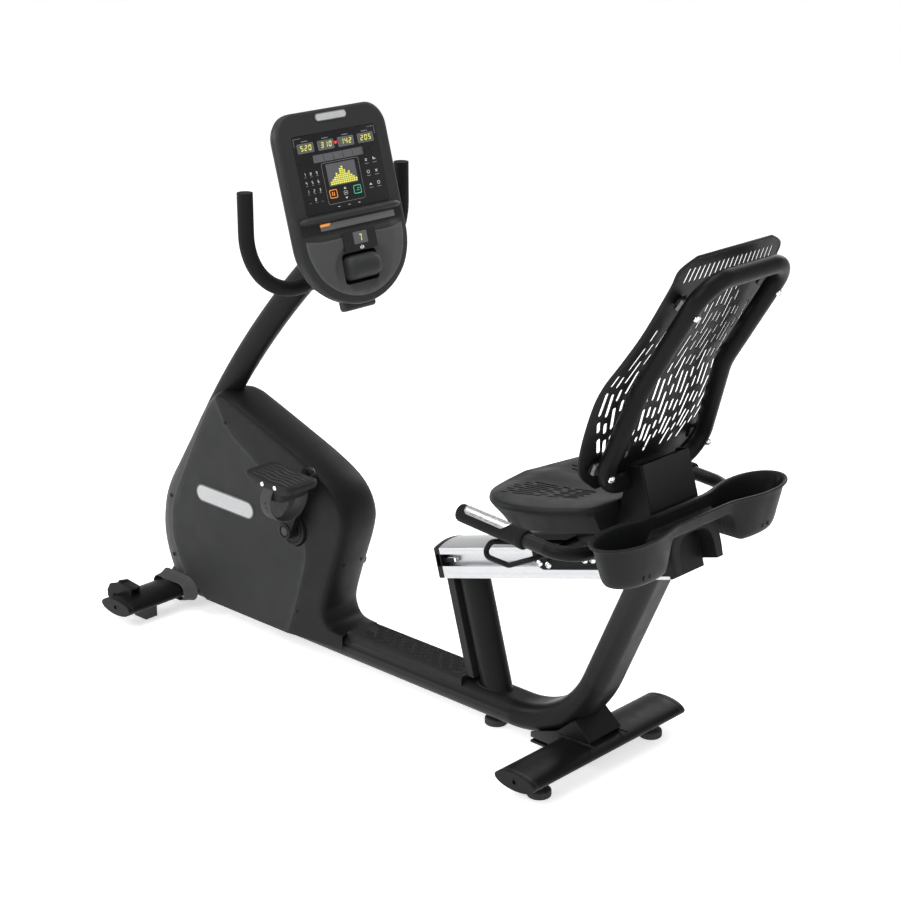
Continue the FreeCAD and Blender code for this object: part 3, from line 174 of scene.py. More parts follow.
def powder_coat(name, colour, rough=0.36, peel=420.0):
    """Satin powder coat on steel: orange peel and slightly paler edges."""
    s = Surface(name)
    base = s.blend(s.noise(5.0), 0.35, 0.7, 0.6, colour, tint(colour, 1.25, 0.0015))
    base = s.mix(s.wear(0.53, 0.66), base, (0.05, 0.05, 0.052))
    return s.finish(base, s.ramp(s.noise(33.0, 3.0), 0.3, 0.7, rough - 0.04, rough + 0.08),
                    ((s.noise(peel, 2.0), 0.22, 0.0004), (s.noise(peel * 4.0, 1.0), 0.15, 0.0001)),
                    COAT_SHEEN)


def brushed(name, colour, stretch, turn=0.0, rough=0.3, metallic=1.0):
    """Metal with long brush marks."""
    s = Surface(name)
    lines = s.noise(1.0, 3.0, 0.6, stretch, turn)
    return s.finish(s.blend(lines, 0.3, 0.7, 1.0, tint(colour, 0.78), colour),
                    s.ramp(lines, 0.25, 0.75, rough - 0.08, rough + 0.12),
                    ((lines, 0.18, 0.0002), (s.noise(9.0, 3.0), 0.04, 0.001)),
                    metallic=metallic)


def plated(name, colour=(0.78, 0.79, 0.8), rough=0.14):
    """Bright plating with faint smears."""
    s = Surface(name)
    smear = s.noise(60.0)
    return s.finish(s.blend(smear, 0.35, 0.7, 0.5, colour, tint(colour, 0.8)),
                    s.ramp(smear, 0.3, 0.7, rough, rough + 0.14),
                    ((s.noise(900.0, 2.0), 0.08, 0.0001),), metallic=1.0)


def foam(name, colour=(0.0045, 0.0045, 0.0048)):
    """Closed-cell foam: soft pores."""
    s = Surface(name)
    cloud = s.noise(14.0)
    return s.finish(s.blend(cloud, 0.35, 0.7, 0.8, colour, tint(colour, 1.9)),
                    s.ramp(cloud, 0.3, 0.7, 0.62, 0.8),
                    ((s.cells(620.0), 0.5, 0.0004), (cloud, 0.1, 0.002)), SHEEN)


def rubber(name, colour=(0.010, 0.010, 0.010)):
    """Dull rubber with mould bloom."""
    s = Surface(name)
    bloom = s.noise(26.0, 5.0)
    return s.finish(s.blend(bloom, 0.4, 0.75, 0.7, colour, (0.05, 0.05, 0.049)),
                    s.ramp(bloom, 0.3, 0.7, 0.6, 0.82), ((s.noise(1300.0, 3.0), 0.3, 0.0002),))


def lit(name, colour, strength):
    """Glowing print behind the membrane, slightly uneven."""
    s = Surface(name)
    patch = s.noise(240.0, 2.0)
    base = s.blend(patch, 0.3, 0.7, 1.0, colour, tint(colour, 0.75))
    s.put(s.inputs["Emission Color"], base)
    s.put(s.inputs["Emission Strength"], strength)
    return s.finish(base, s.ramp(patch, 0.3, 0.7, 0.35, 0.5))


M = {
    "frame": powder_coat("satin_black_coat", (0.0058, 0.006, 0.0062)),
    "shroud_rear": moulded("shroud_dark_plastic", (0.0055, 0.0056, 0.0058), 0.44),
    "shroud_side": moulded("shroud_grey_plastic", (0.021, 0.0214, 0.0217), 0.56),
    # the band's paler grey and the side panel's darker grey are lit and shaded copies of one
    # moulding's colour: painted highlight on the rounded front band
    "shroud_band": moulded("shroud_band_plastic", (0.030, 0.0304, 0.031), 0.5),
    "boot": moulded("boot_plastic", (0.048, 0.0484, 0.049), 0.5),
    "cover": moulded("cover_plastic", (0.0075, 0.0077, 0.008), 0.47),
    "seat": moulded("seat_plastic", (0.0095, 0.0098, 0.0102), 0.46, 700.0, 0.45),
    "console": moulded("console_plastic", (0.0215, 0.0218, 0.0223), 0.44),
    "console_low": moulded("console_pod_plastic", (0.055, 0.0555, 0.0562), 0.46),
    "pedal": moulded("pedal_plastic", (0.012, 0.0122, 0.0125), 0.5, 600.0, 0.5),
    "black": moulded("black_plastic", (0.005, 0.005, 0.0053), 0.4),
    "rail": brushed("brushed_rail", (0.56, 0.57, 0.585), (30.0, 900.0, 900.0),
                    -RAIL_ANGLE, 0.34),
    "steel": brushed("turned_steel", (0.5, 0.5, 0.51), (500.0, 500.0, 500.0), 0.0, 0.3),
    "iron": powder_coat("cast_rotor", (0.05, 0.05, 0.052), 0.5),
    "copper": brushed("copper_windings", (0.6, 0.27, 0.12), (700.0, 90.0, 700.0), 0.0, 0.35),
    "chrome": plated("bright_plate"),
    "pulse": brushed("pulse_contact", (0.74, 0.745, 0.75), (60.0, 900.0, 900.0), 0.08, 0.24),
    "badge": brushed("silver_badge", (0.54, 0.545, 0.55), (90.0, 90.0, 900.0), 0.0, 0.42, 0.45),
    # darker copy of the silver badge for the side badge on the shroud: painted shade, as that badge
    # faces the key light
    "badge_side": brushed("silver_badge_painted_shade", (0.43, 0.435, 0.44), (90.0, 90.0, 900.0), 0.0,
                          0.42, 0.45),
    "foam": foam("grip_foam"),
    "rubber": rubber("black_rubber"),
    "membrane": moulded("screen_membrane", (0.0085, 0.0087, 0.009), 0.3, 1500.0, 0.15, 1.2, 0.1),
    "glass_grey": moulded("readout_grey", (0.085, 0.086, 0.092), 0.3, 1600.0, 0.1, 1.1, 0.2),
    "print_white": moulded("printed_white", (0.62, 0.62, 0.62), 0.5, 1500.0, 0.1, 1.0, 0.2),
    "print_grey": moulded("printed_grey", (0.2, 0.2, 0.2), 0.5, 1500.0, 0.1, 1.0, 0.2),
    "lit_yellow": lit("lit_yellow", (0.62, 0.62, 0.07), 0.55),
    "lit_orange": lit("lit_orange", (0.85, 0.28, 0.03), 0.5),
    "lit_green": lit("lit_green", (0.05, 0.5, 0.27), 0.4),
    "lit_red": lit("lit_red", (0.8, 0.03, 0.03), 0.7),
    "strip": moulded("tray_strip", (0.11, 0.11, 0.112), 0.55, 300.0, 0.8),
}


# ---- mesh building -----------------------------------------------
def sharpen(mesh, degrees):
    """Smooth shading with hard edges where faces meet at more than the given angle."""
    bm = bmesh.new()
    bm.from_mesh(mesh)
    limit = math.radians(degrees)
    for f in bm.faces:
        f.smooth = True
    for e in bm.edges:
        e.smooth = len(e.link_faces) == 2 and e.calc_face_angle(0.0) < limit
    bm.to_mesh(mesh)
    bm.free()


def piece(name, verts, faces, mat, body, nodes=(), slot=None, weld=1e-6, bevel=0.0,
          solid=0.0, offset=-1.0, angle=SMOOTH_ANGLE, segments=2, core=None):
    """One shown piece that rides a body and stands for some CAD nodes.

    Faces of an open skin are turned to look away from the core point.
    """
    mesh = bpy.data.meshes.new(name)
    mesh.from_pydata([tuple(v) for v in verts], [], faces)
    bm = bmesh.new()
    bm.from_mesh(mesh)
    bmesh.ops.remove_doubles(bm, verts=bm.verts, dist=weld)
    bmesh.ops.recalc_face_normals(bm, faces=bm.faces)
    if core is not None:
        facing = sum(f.normal.dot(f.calc_center_median() - core) * f.calc_area()
                     for f in bm.faces)
        if facing < 0:
            bmesh.ops.reverse_faces(bm, faces=bm.faces)
    bm.to_mesh(mesh)
    bm.free()
    obj = bpy.data.objects.new(name, mesh)
    bpy.context.scene.collection.objects.link(obj)
    mesh.materials.append(M[mat])
    if solid:
        mod = obj.modifiers.new("wall", "SOLIDIFY")
        mod.thickness = solid
        mod.offset = offset
    if bevel:
        mod = obj.modifiers.new("edges", "BEVEL")
        mod.width = bevel
        mod.segments = segments
        mod.limit_method = "ANGLE"
        mod.angle_limit = BEVEL_ANGLE
        mod.harden_normals = False
    if solid or bevel:
        bpy.context.view_layer.update()
        deps = bpy.context.evaluated_depsgraph_get()
        done = bpy.data.meshes.new_from_object(obj.evaluated_get(deps))
        obj.modifiers.clear()
        obj.data = done
    sharpen(obj.data, angle)
    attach(obj, body)
    if nodes:
        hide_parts(*nodes)
    return obj


def join(parts):
    """Several (verts, faces) as one."""
    verts, faces = [], []
    for more_verts, more_faces in parts:
        start = len(verts)
        verts += more_verts
        faces += [tuple(i + start for i in f) for f in more_faces]
    return verts, faces


def grid(rows, close_u=False, close_v=False):
    """Quads over a list of equal rows of points."""
    n, m = len(rows), len(rows[0])
    verts = [p for row in rows for p in row]
    faces = []
    for i in range(n if close_u else n - 1):
        for j in range(m if close_v else m - 1):
            a, b = i, (i + 1) % n
            c, d = j, (j + 1) % m
            faces.append((a * m + c, a * m + d, b * m + d, b * m + c))
    return verts, faces


def tube_between(rows):
    """Closed rings joined into a tube with flat ends."""
    verts, faces = grid(rows, False, True)
    m = len(rows[0])
    faces.append(tuple(range(m))[::-1])
    faces.append(tuple(len(verts) - m + i for i in range(m)))
    return verts, faces


def smooth_line(points, steps=10, closed=False):
    """Catmull-Rom curve through points."""
    pts = [Vector(p) for p in points]
    n = len(pts)
    out = []
    spans = n if closed else n - 1
    for i in range(spans):
        if closed:
            p0, p1, p2, p3 = (pts[(i + k) % n] for k in (-1, 0, 1, 2))
        else:
            p0, p1 = pts[max(i - 1, 0)], pts[i]
            p2, p3 = pts[i + 1], pts[min(i + 2, n - 1)]
        for s in range(steps):
            t = s / steps
            out.append(0.5 * ((2 * p1) + (p2 - p0) * t + (2 * p0 - 5 * p1 + 4 * p2 - p3) * t * t
                              + (3 * p1 - p0 - 3 * p2 + p3) * t ** 3))
    if not closed:
        out.append(pts[-1])
    return out


def rings(path, section, up=Vector((0, 1, 0)), scales=None):
    """Carry a closed 2-D section (list of (a, b)) along a path without twisting."""
    rows = []
    n = len(path)
    side = None
    for i, p in enumerate(path):
        t = (path[min(i + 1, n - 1)] - path[max(i - 1, 0)]).normalized()
        if side is None:
            side = (up - t * up.dot(t)).normalized()
        else:
            side = (side - t * side.dot(t)).normalized()
        other = t.cross(side)
        k = 1.0 if scales is None else scales[i]
        rows.append([p + side * (a * k) + other * (b * k) for a, b in section])
    return rows


def circle(radius, steps=24, flat=1.0):
    return [(radius * math.cos(2 * math.pi * i / steps),
             radius * flat * math.sin(2 * math.pi * i / steps)) for i in range(steps)]


def bar(path, radius, steps=24, ends=0.0):
    """Round bar along a path; ends > 0 rounds its two ends off."""
    scales = None
    if ends:
        turns = [a * math.pi / 2 / END_RINGS for a in range(END_RINGS, 0, -1)]
        d0, d1 = (path[0] - path[1]).normalized(), (path[-1] - path[-2]).normalized()
        shrink = [max(0.05, 1 - (ends / radius) * (1 - math.cos(a))) for a in turns]
        scales = shrink + [1.0] * len(path) + shrink[::-1]
        path = ([path[0] + d0 * (ends * math.sin(a)) for a in turns] + list(path)
                + [path[-1] + d1 * (ends * math.sin(a)) for a in turns[::-1]])
    return tube_between(rings(path, circle(radius, steps), scales=scales))


def lathe(origin, axis, profile, steps=32):
    """Turn a profile of (distance along axis, radius) about an axis."""
    axis = Vector(axis).normalized()
    side = axis.orthogonal().normalized()
    other = axis.cross(side)
    rows = [[origin + axis * d + (side * math.cos(2 * math.pi * i / steps)
                                  + other * math.sin(2 * math.pi * i / steps)) * max(r, 1e-5)
             for i in range(steps)] for d, r in profile]
    return grid(rows, False, True)


def inside(point, polygon):
    """Whether a 2-D point lies in a closed polygon."""
    x, y = point
    hit = False
    j = len(polygon) - 1
    for i in range(len(polygon)):
        xi, yi = polygon[i]
        xj, yj = polygon[j]
        if (yi > y) != (yj > y) and x < (xj - xi) * (y - yi) / (yj - yi) + xi:
            hit = not hit
        j = i
    return hit


def flat_mesh(outline, holes, step, lines=(), keep_clear=0.35):
    """Triangles over a 2-D outline with holes and extra lines, filled with an even grid."""
    points = [Vector(p) for p in outline]
    edges = [(i, (i + 1) % len(outline)) for i in range(len(outline))]
    for hole in holes:
        start = len(points)
        points += [Vector(p) for p in hole]
        edges += [(start + i, start + (i + 1) % len(hole)) for i in range(len(hole))]
    for line in lines:
        start = len(points)
        points += [Vector(p) for p in line]
        edges += [(start + i, start + i + 1) for i in range(len(line) - 1)]
    loops = [list(loop) + [loop[0]] for loop in [outline] + list(holes)]
    near = {}
    for loop in loops + [list(line) for line in lines]:
        for a, b in zip(loop, loop[1:]):
            count = max(1, int(math.hypot(b[0] - a[0], b[1] - a[1]) / (step * 0.5)))
            for k in range(count + 1):
                x, y = a[0] + (b[0] - a[0]) * k / count, a[1] + (b[1] - a[1]) * k / count
                near.setdefault((int(x // step), int(y // step)), []).append((x, y))
    xs, ys = [p[0] for p in outline], [p[1] for p in outline]
    gap = (step * keep_clear) ** 2
    rows = int((max(ys) - min(ys)) / (step * 0.87))
    for row in range(rows + 1):
        y = min(ys) + step * (0.5 + 0.87 * row)
        x = min(xs) + step * (0.5 if row % 2 else 0.25)
        while x < max(xs):
            cell = (int(x // step), int(y // step))
            close = any((x - q[0]) ** 2 + (y - q[1]) ** 2 < gap
                        for i in (-1, 0, 1) for j in (-1, 0, 1)
                        for q in near.get((cell[0] + i, cell[1] + j), ()))
            if not close and inside((x, y), outline):
                points.append(Vector((x, y)))
            x += step
    result = delaunay_2d_cdt(points, edges, [], 1, 1e-5)
    verts = [(v[0], v[1]) for v in result[0]]
    boxes = [(min(p[0] for p in h), max(p[0] for p in h), min(p[1] for p in h),
              max(p[1] for p in h)) for h in holes]
    faces = []
    for f in result[2]:
        c = middle(verts, f)
        if not any(b[0] <= c[0] <= b[1] and b[2] <= c[1] <= b[3] and inside(c, h)
                   for h, b in zip(holes, boxes)):
            faces.append(tuple(f))
    return verts, faces


def middle(verts, corners):
    return tuple(sum(verts[i][k] for i in corners) / len(corners) for k in (0, 1))


def placed(flat, place, keep=None):
    """Flat triangles put in space; keep() picks triangles by their middle."""
    verts, faces = flat
    faces = [f for f in faces if keep is None or keep(middle(verts, f))]
    used = sorted({i for f in faces for i in f})
    index = {old: new for new, old in enumerate(used)}
    return ([place(*verts[i]) for i in used], [tuple(index[i] for i in f) for f in faces])


def ease_in(points, amount):
    """Closed loop drawn inwards by a small amount."""
    n = len(points)
    area = sum(points[i][0] * points[(i + 1) % n][1] - points[(i + 1) % n][0] * points[i][1]
               for i in range(n))
    sign = 1 if area > 0 else -1
    out = []
    for i in range(n):
        a, b = Vector(points[i - 1]), Vector(points[(i + 1) % n])
        t = (b - a).normalized()
        out.append((points[i][0] - t[1] * amount * sign, points[i][1] + t[0] * amount * sign))
    return out


def thin_out(points, least):
    """Loop without points closer together than the given distance."""
    out = [points[0]]
    for p in points[1:]:
        if math.hypot(p[0] - out[-1][0], p[1] - out[-1][1]) >= least:
            out.append(p)
    return out


def stadium(cx, cy, length, width, angle, steps=5):
    """Outline of a round-ended slot."""
    half, r = max(length / 2 - width / 2, 0.01), width / 2
    c, s = math.cos(angle), math.sin(angle)
    pts = []
    for sign in (1, -1):
        for k in range(steps + 1):
            a = -math.pi / 2 + math.pi * k / steps + (0 if sign > 0 else math.pi)
            x, y = sign * half + r * math.cos(a), r * math.sin(a)
            pts.append((cx + x * c - y * s, cy + x * s + y * c))
    return pts


def block(a, b, place=P):
    """Box between two corners, placed by a function of three numbers."""
    (x0, y0, z0), (x1, y1, z1) = a, b
    verts = [place(x, y, z) for x in (x0, x1) for y in (y0, y1) for z in (z0, z1)]
    faces = [(0, 1, 3, 2), (4, 6, 7, 5), (0, 4, 5, 1), (2, 3, 7, 6), (0, 2, 6, 4), (1, 5, 7, 3)]
    return verts, faces


def prism(outline, low, high, place):
    """Closed slab over a 2-D outline; place(a, b, height) puts it in space."""
    n = len(outline)
    verts = [place(a, b, low) for a, b in outline] + [place(a, b, high) for a, b in outline]
    faces = [tuple(range(n))[::-1], tuple(range(n, 2 * n))]
    faces += [(i, (i + 1) % n, n + (i + 1) % n, n + i) for i in range(n)]
    return verts, faces


# ---- shroud ------------------------------------------------------
# (x, z, how far the flat side starts inside the outline) from the rear foot clockwise
SHROUD = [(228, 98, 10), (256, 100, 10), (272, 108, 12), (281, 127, 14), (280, 150, 16),
          (262, 205, 17), (241, 261, 17), (222, 314, 17), (213, 362, 17), (226, 408, 18),
          (262, 448, 18), (329, 482, 16), (422, 517, 15), (550, 562, 13), (600, 577, 12),
          (640, 578, 14), (676, 558, 24), (711, 522, 34), (760, 451, 42), (815, 372, 54),
          (850, 322, 62), (874, 276, 69), (888, 225, 75), (892, 175, 80), (884, 125, 84),
          (866, 76, 88), (850, 46, 92)]
SHROUD_HALF = 56.0
FIRST_FRONT = 15
SEAM = [(641, 568), (592, 496), (521, 452), (400, 372), (344, 275), (367, 165), (410, 44)]
SHROUD_LOW = 44.0
CRANK = (380.0, 313.0)
SCREWS = ((606, 512), (815, 282), (815, 130), (378, 108))


def ring(cx, cy, radius, steps=32):
    return [(cx + radius * math.cos(2 * math.pi * a / steps),
             cy + radius * math.sin(2 * math.pi * a / steps)) for a in range(steps)]


def shroud_lines(steps):
    """Outline and the inner edge of its rounded wrap, as equal lists of (x, z)."""
    track = smooth_line(SHROUD, steps)
    outer, inner = [], []
    for i, p in enumerate(track):
        a, b = track[max(i - 1, 0)], track[min(i + 1, len(track) - 1)]
        t = Vector((b[0] - a[0], b[1] - a[1])).normalized()
        outer.append(Vector((p[0], p[1])))
        inner.append(Vector((p[0] + t[1] * p[2], max(p[1] - t[0] * p[2], SHROUD_LOW))))
    return outer, inner


def wrap(outer, inner, side, start_y, crease, bands=12):
    """The rounded surface between the middle plane and the flat side."""
    rows = []
    for a, b in zip(outer, inner):
        row = []
        for k in range(bands + 1):
            turn = k / bands * math.pi / 2 * crease
            y = start_y + (SHROUD_HALF - start_y) * math.sin(turn) / math.sin(math.pi / 2 * crease)
            pull = (1 - math.cos(turn)) / (1 - math.cos(math.pi / 2 * crease))
            p = a.lerp(b, pull)
            row.append(P(p[0], side * y, p[1]))
        rows.append(row)
    return grid(rows)


def make_shroud():
    steps = 8
    outer, inner = shroud_lines(steps)
    part = FIRST_FRONT * steps
    seam = [(p[0], p[1]) for p in smooth_line([(x, z, 0) for x, z in SEAM], 10)]
    edge = [(p[0], p[1]) for p in inner]
    top = edge[part]
    cut = [top] + seam[2:-1] + [(seam[-1][0], SHROUD_LOW)]
    hole = ring(CRANK[0], CRANK[1], 43, 48)
    low = [(x, SHROUD_LOW) for x in (700, 640, 560, 480, 410)]
    low += [(370, SHROUD_LOW + 4), (330, SHROUD_LOW + 8), (270, SHROUD_LOW + 12),
            (228, SHROUD_LOW + 13)]
    outline = edge + low
    hollow = [p for p in cut if math.hypot(p[0] - CRANK[0], p[1] - CRANK[1]) > 44]
    before = [p for p in hollow if p[1] > CRANK[1]]
    after = [p for p in hollow if p[1] <= CRANK[1]]
    flat = flat_mesh(outline, [hole], 13, [before, after])
    fore = edge[part:] + low[:4] + [(410, SHROUD_LOW)] + cut[::-1][1:-1]

    def is_fore(p):
        return inside(p, fore)

    def plane(side):
        return lambda a, b: P(a, side * SHROUD_HALF, b)

    core = P(560, 0, 300)
    rear = []
    for side in (1, -1):
        rear.append(wrap(outer[:part + 1], inner[:part + 1], side, 0.0, 1.0))
        rear.append(placed(flat, plane(side), lambda p: not is_fore(p)))
    piece("shroud_rear_skin", *join(rear), "shroud_rear", "frame", ["shroud_rear_cover"],
          "dark_plastic", weld=2e-5, solid=0.0025, angle=40, core=core)
    for side, tag in SIDES:
        # the front band takes the paler copy of the grey: painted highlight
        band = wrap(outer[part:], inner[part:], side, 0.2, 0.8)
        piece("shroud_band_" + tag, *band, "shroud_band", "frame", ["shroud_" + tag],
              "grey_plastic", solid=0.0025, angle=40, core=core)
        panel = placed(flat, plane(side), is_fore)
        piece("shroud_side_" + tag, *panel, "shroud_side", "frame", ["shroud_" + tag],
              "grey_plastic", solid=0.0025, angle=40, core=core)


# ---- console -----------------------------------------------------
def arc_points(a, b, c, steps):
    """Circle arc from a through b to c, as 2-D points without the last."""
    ax, ay, bx, by, cx, cy = *a, *b, *c
    d = 2 * (ax * (by - cy) + bx * (cy - ay) + cx * (ay - by))
    ux = ((ax * ax + ay * ay) * (by - cy) + (bx * bx + by * by) * (cy - ay)
          + (cx * cx + cy * cy) * (ay - by)) / d
    uy = ((ax * ax + ay * ay) * (cx - bx) + (bx * bx + by * by) * (ax - cx)
          + (cx * cx + cy * cy) * (bx - ax)) / d
    radius = math.hypot(ax - ux, ay - uy)
    start = math.atan2(ay - uy, ax - ux)
    mid = math.atan2(by - uy, bx - ux)
    end = math.atan2(cy - uy, cx - ux)
    sweep = (end - start) % (2 * math.pi)
    if (mid - start) % (2 * math.pi) > sweep:
        sweep -= 2 * math.pi
    return [(ux + radius * math.cos(start + sweep * i / steps),
             uy + radius * math.sin(start + sweep * i / steps)) for i in range(steps)]


def console_outline(inset):
    """Screen shoulders above and the tongue of the pod below, as (y, u) points."""
    half, top, bottom = 158 - inset, 220 - inset, -198 + inset
    corner = 52.0
    shoulder = top - corner
    cut = corner * (1 - math.sqrt(0.5))
    pod, ledge = 0.8 * half, -60.0
    pod_up = ledge + 0.6 * (bottom - ledge)
    left = arc_points((half - corner, top), (half - cut, top - cut), (half, shoulder), 12)
    left += [(half, shoulder + (ledge - shoulder) * i / 16) for i in range(16)]
    left += arc_points((half, ledge), (half - 7, (ledge + pod_up) / 2 + 2), (pod, pod_up), 10)
    bowl = arc_points((pod, pod_up), (0, bottom), (-pod, pod_up), 36)
    right = [(-y, u) for y, u in left[::-1]]
    lid = [(-(half - corner) + (2 * (half - corner)) * i / 12, top) for i in range(12)]
    return left + bowl + [(-pod, pod_up)] + right[:-1] + lid


def smoothstep(t):
    t = min(1.0, max(0.0, t))
    return t * t * (3 - 2 * t)


def edge_distance(p, loop):
    """Distance from a point to the nearest vertex of a dense loop."""
    return min(math.hypot(p[0] - q[0], p[1] - q[1]) for q in loop)


def console_relief(y, u, loop):
    """How far the face stands out towards the rider."""
    from_edge = smoothstep(edge_distance((y, u), loop) / 55)
    pod = 9.0 * from_edge * smoothstep((-36 - u) / 9)
    dish = math.hypot(y / 74, (u + 118) / 47)
    pod -= 8.5 * smoothstep((1.18 - dish) / 0.3)
    collar = 1.3 * smoothstep((48 - abs(y + 4)) / 6) * smoothstep((u + 82) / 5)
    collar *= smoothstep((-38 - u) / 4)
    return pod + collar


def rounded_box(y0, y1, u0, u1, r, steps=5):
    pts = []
    for cy, cu, start in ((y1 - r, u1 - r, 0), (y0 + r, u1 - r, 90), (y0 + r, u0 + r, 180),
                          (y1 - r, u0 + r, 270)):
        for i in range(steps + 1):
            a = math.radians(start + 90 * i / steps)
            pts.append((cy + r * math.cos(a), cu + r * math.sin(a)))
    return pts


def slab(outline, low, high):
    """Flat closed piece on the console between two depths."""
    return prism(outline, low, high, lambda a, b, h: face(h, a, b))


def make_console():
    rim = console_outline(7)
    window = rounded_box(-50.5, 50.5, -153, -87, 9)
    screen = rounded_box(-122, 122, 4, 172, 6)

    def raised(y, u, proud=0.0):
        return face(-console_relief(y, u, rim) - proud, y, u)

    front = placed(flat_mesh(rim, [window, screen], 6.5, keep_clear=0.45), raised)
    rows = [[face(depth, y, u) for y, u in console_outline(inset)]
            for inset, depth in ((5.2, 0.3), (3.4, 1.0), (1.9, 2.1), (0.8, 3.8), (0.2, 5.8),
                                 (0.0, 8.0), (0.0, 15.6), (0.7, 16.4), (3.0, 16.4))]
    edge = grid([[raised(y, u) for y, u in rim]] + rows, False, True)
    inner = rounded_box(-49.5, 49.5, -152, -88, 8)
    throat = grid([[raised(y, u) for y, u in window]]
                  + [[face(depth, y, u) for y, u in inner] for depth in (3, 20)], False, True)
    sill = grid([[raised(y, u) for y, u in screen], [face(1.8, y, u) for y, u in screen]],
                False, True)
    piece("console_face", *join([front, edge, throat, sill]), "console", "frame",
          ["console_front_shell"], "grey_plastic", weld=4e-5, angle=38)
    field = [p for p in console_outline(17) if p[1] < -43]
    pod = placed(flat_mesh(field, [window], 6.5, keep_clear=0.45), lambda y, u: raised(y, u, 0.9))
    piece("console_pod", *pod, "console_low", "frame", (), "grey_plastic", solid=0.0014,
          angle=38, core=face(40, 0, -110))

    lip = [(2, -14), (2, 2), (-4, 2.6), (-9.5, 0), (-12.6, -4.5), (-12.2, -9.5), (-8.5, -12.6),
           (-3, -14)]
    rows = []
    for i in range(25):
        t = -1 + 2 * i / 24
        end = smoothstep((1 - abs(t)) / 0.1)
        k = 0.35 + 0.65 * end
        rows.append([face(d * k if d < 0 else d, 147 * t, -6 + (u + 6) * k) for d, u in lip])
    piece("console_lip", *tube_between(rows), "console", "frame", (), "grey_plastic", bevel=0.0012)
    # black plate behind the tray strip across the full width: painted shade of the shadowed ledge
    # under the tray
    recess = slab(rounded_box(-146, 146, -36, -13, 3), -0.5, 1.0)
    piece("tray_recess_painted_shade", *recess, "black", "frame", (), "grey_plastic")
    strip = slab(rounded_box(-126, 92, -31, -17, 2), -1.6, 1.0)
    piece("tray_strip", *strip, "strip", "frame", (), "grey_plastic", bevel=0.0004)
    corner = slab([(92, -22), (92, -16.5), (63, -16.5), (66, -22)], -2.2, 0.5)
    piece("tray_corner", *corner, "lit_orange", "frame", (), "screen", bevel=0.0003)

    # the plain badge at the head of the console: raised rim round a brushed field, the rim grey as
    # a painted shadow line
    make_badge("console_badge", lambda a, b, h: face(-h, a, 203 + b), 90, 17, 2.4)

    profile = [(22, -16), (22, 16), (6, 27), (-12, 27.5), (-23, 22), (-29.5, 11), (-30.5, 0),
               (-29.5, -10), (-24, -19), (-13, -25), (4, -26)]
    rows = []
    for i in range(19):
        t = -1 + 2 * i / 18
        k = (1 - 0.34 * abs(t) ** 7)
        rows.append([face(6 + d * k, 48 * t, -120 + u * k) for d, u in profile])
    piece("paddle_block", *tube_between(rows), "console", "resistance_paddle",
          ["resistance_paddle"], "dark_plastic", bevel=0.005, segments=4, angle=50)


def side_badge(a, b, h):
    """The shroud's badge lies on its left side, tipped a touch nose up."""
    turn = math.radians(-1)
    x, z = a * math.cos(turn) + b * math.sin(turn), b * math.cos(turn) - a * math.sin(turn)
    return P(616 + x, SHROUD_HALF + h, 317 + z)


def make_badge(name, place, length, height, thick, mat="badge"):
    """Plain pill: a brushed plate in a raised rim, the rim coloured grey as a painted shadow line
    round the plate.
    """
    def pill(inset):
        r = height / 2 - inset
        pts = []
        for sign, start in ((1, -90), (-1, 90)):
            for i in range(13):
                a = math.radians(start + 180 * i / 12)
                pts.append((sign * (length / 2 - height / 2) + r * math.cos(a), r * math.sin(a)))
        return pts
    k = height / 43 + 0.35
    rows = [[place(a, b, h) for a, b in pill(inset)]
            for inset, h in ((0, 0), (0, thick * 0.6), (0.5 * k, thick * 0.9), (1.1 * k, thick),
                             (1.8 * k, thick * 0.93), (2.4 * k, thick * 0.72))]
    # grey rim: painted shadow line round the badge
    piece(name + "_rim_painted_shade", *grid(rows, False, True), "strip", "frame", ["badges"], "badge", angle=60)
    field = prism(pill(2.1 * k), 0.0, thick * 0.74, place)
    piece(name + "_field", *field, mat, "frame", ["badges"], "badge", angle=50)


PRINT = 0.25         # thickness of a printed mark
SEGMENTS = {"0": "abcdef", "1": "bc", "2": "abged", "3": "abgcd", "4": "fgbc", "5": "afgcd",
            "6": "afgedc", "7": "abc", "8": "abcdefg", "9": "abcdfg"}


def digit(ch, y, u, w, h, t, depth, slant=0.12):
    """Seven-segment digit whose left edge is at y, drawn towards -y."""
    made = []
    boxes = {"a": (t, h - t, w - t, h), "d": (t, 0, w - t, t), "g": (t, h / 2 - t / 2, w - t,
             h / 2 + t / 2), "f": (0, h / 2 + t * 0.2, t, h - t * 0.3), "e": (0, t * 0.3, t,
             h / 2 - t * 0.2), "b": (w - t, h / 2 + t * 0.2, w, h - t * 0.3),
             "c": (w - t, t * 0.3, w, h / 2 - t * 0.2)}
    for s in SEGMENTS[ch]:
        x0, z0, x1, z1 = boxes[s]
        pts = [(y - x - z * slant, u + z) for x, z in ((x0, z0), (x1, z0), (x1, z1), (x0, z1))]
        made.append(slab(pts, depth, depth + PRINT))
    return made


def plate(y0, y1, u0, u1, depth, thick=PRINT, r=0.0):
    pts = rounded_box(y0, y1, u0, u1, r) if r else [(y1, u1), (y0, u1), (y0, u0), (y1, u0)]
    return slab(pts, depth, depth + thick)


def frame_line(y0, y1, u0, u1, width, depth, r=3.0):
    """Thin rounded outline printed on the membrane."""
    outer = rounded_box(y0, y1, u0, u1, r)
    inner = rounded_box(y0 + width, y1 - width, u0 + width, u1 - width, max(r - width, 0.3))
    rows = [[face(depth + 0.2, a, b) for a, b in outer], [face(depth, a, b) for a, b in outer],
            [face(depth, a, b) for a, b in inner], [face(depth + 0.2, a, b) for a, b in inner]]
    return grid(rows, False, True)


def arrow(y, u, size, up, depth):
    tip = size if up else -size
    return slab([(y - size, u), (y + size, u), (y, u + tip * 1.1)], depth, depth + PRINT)


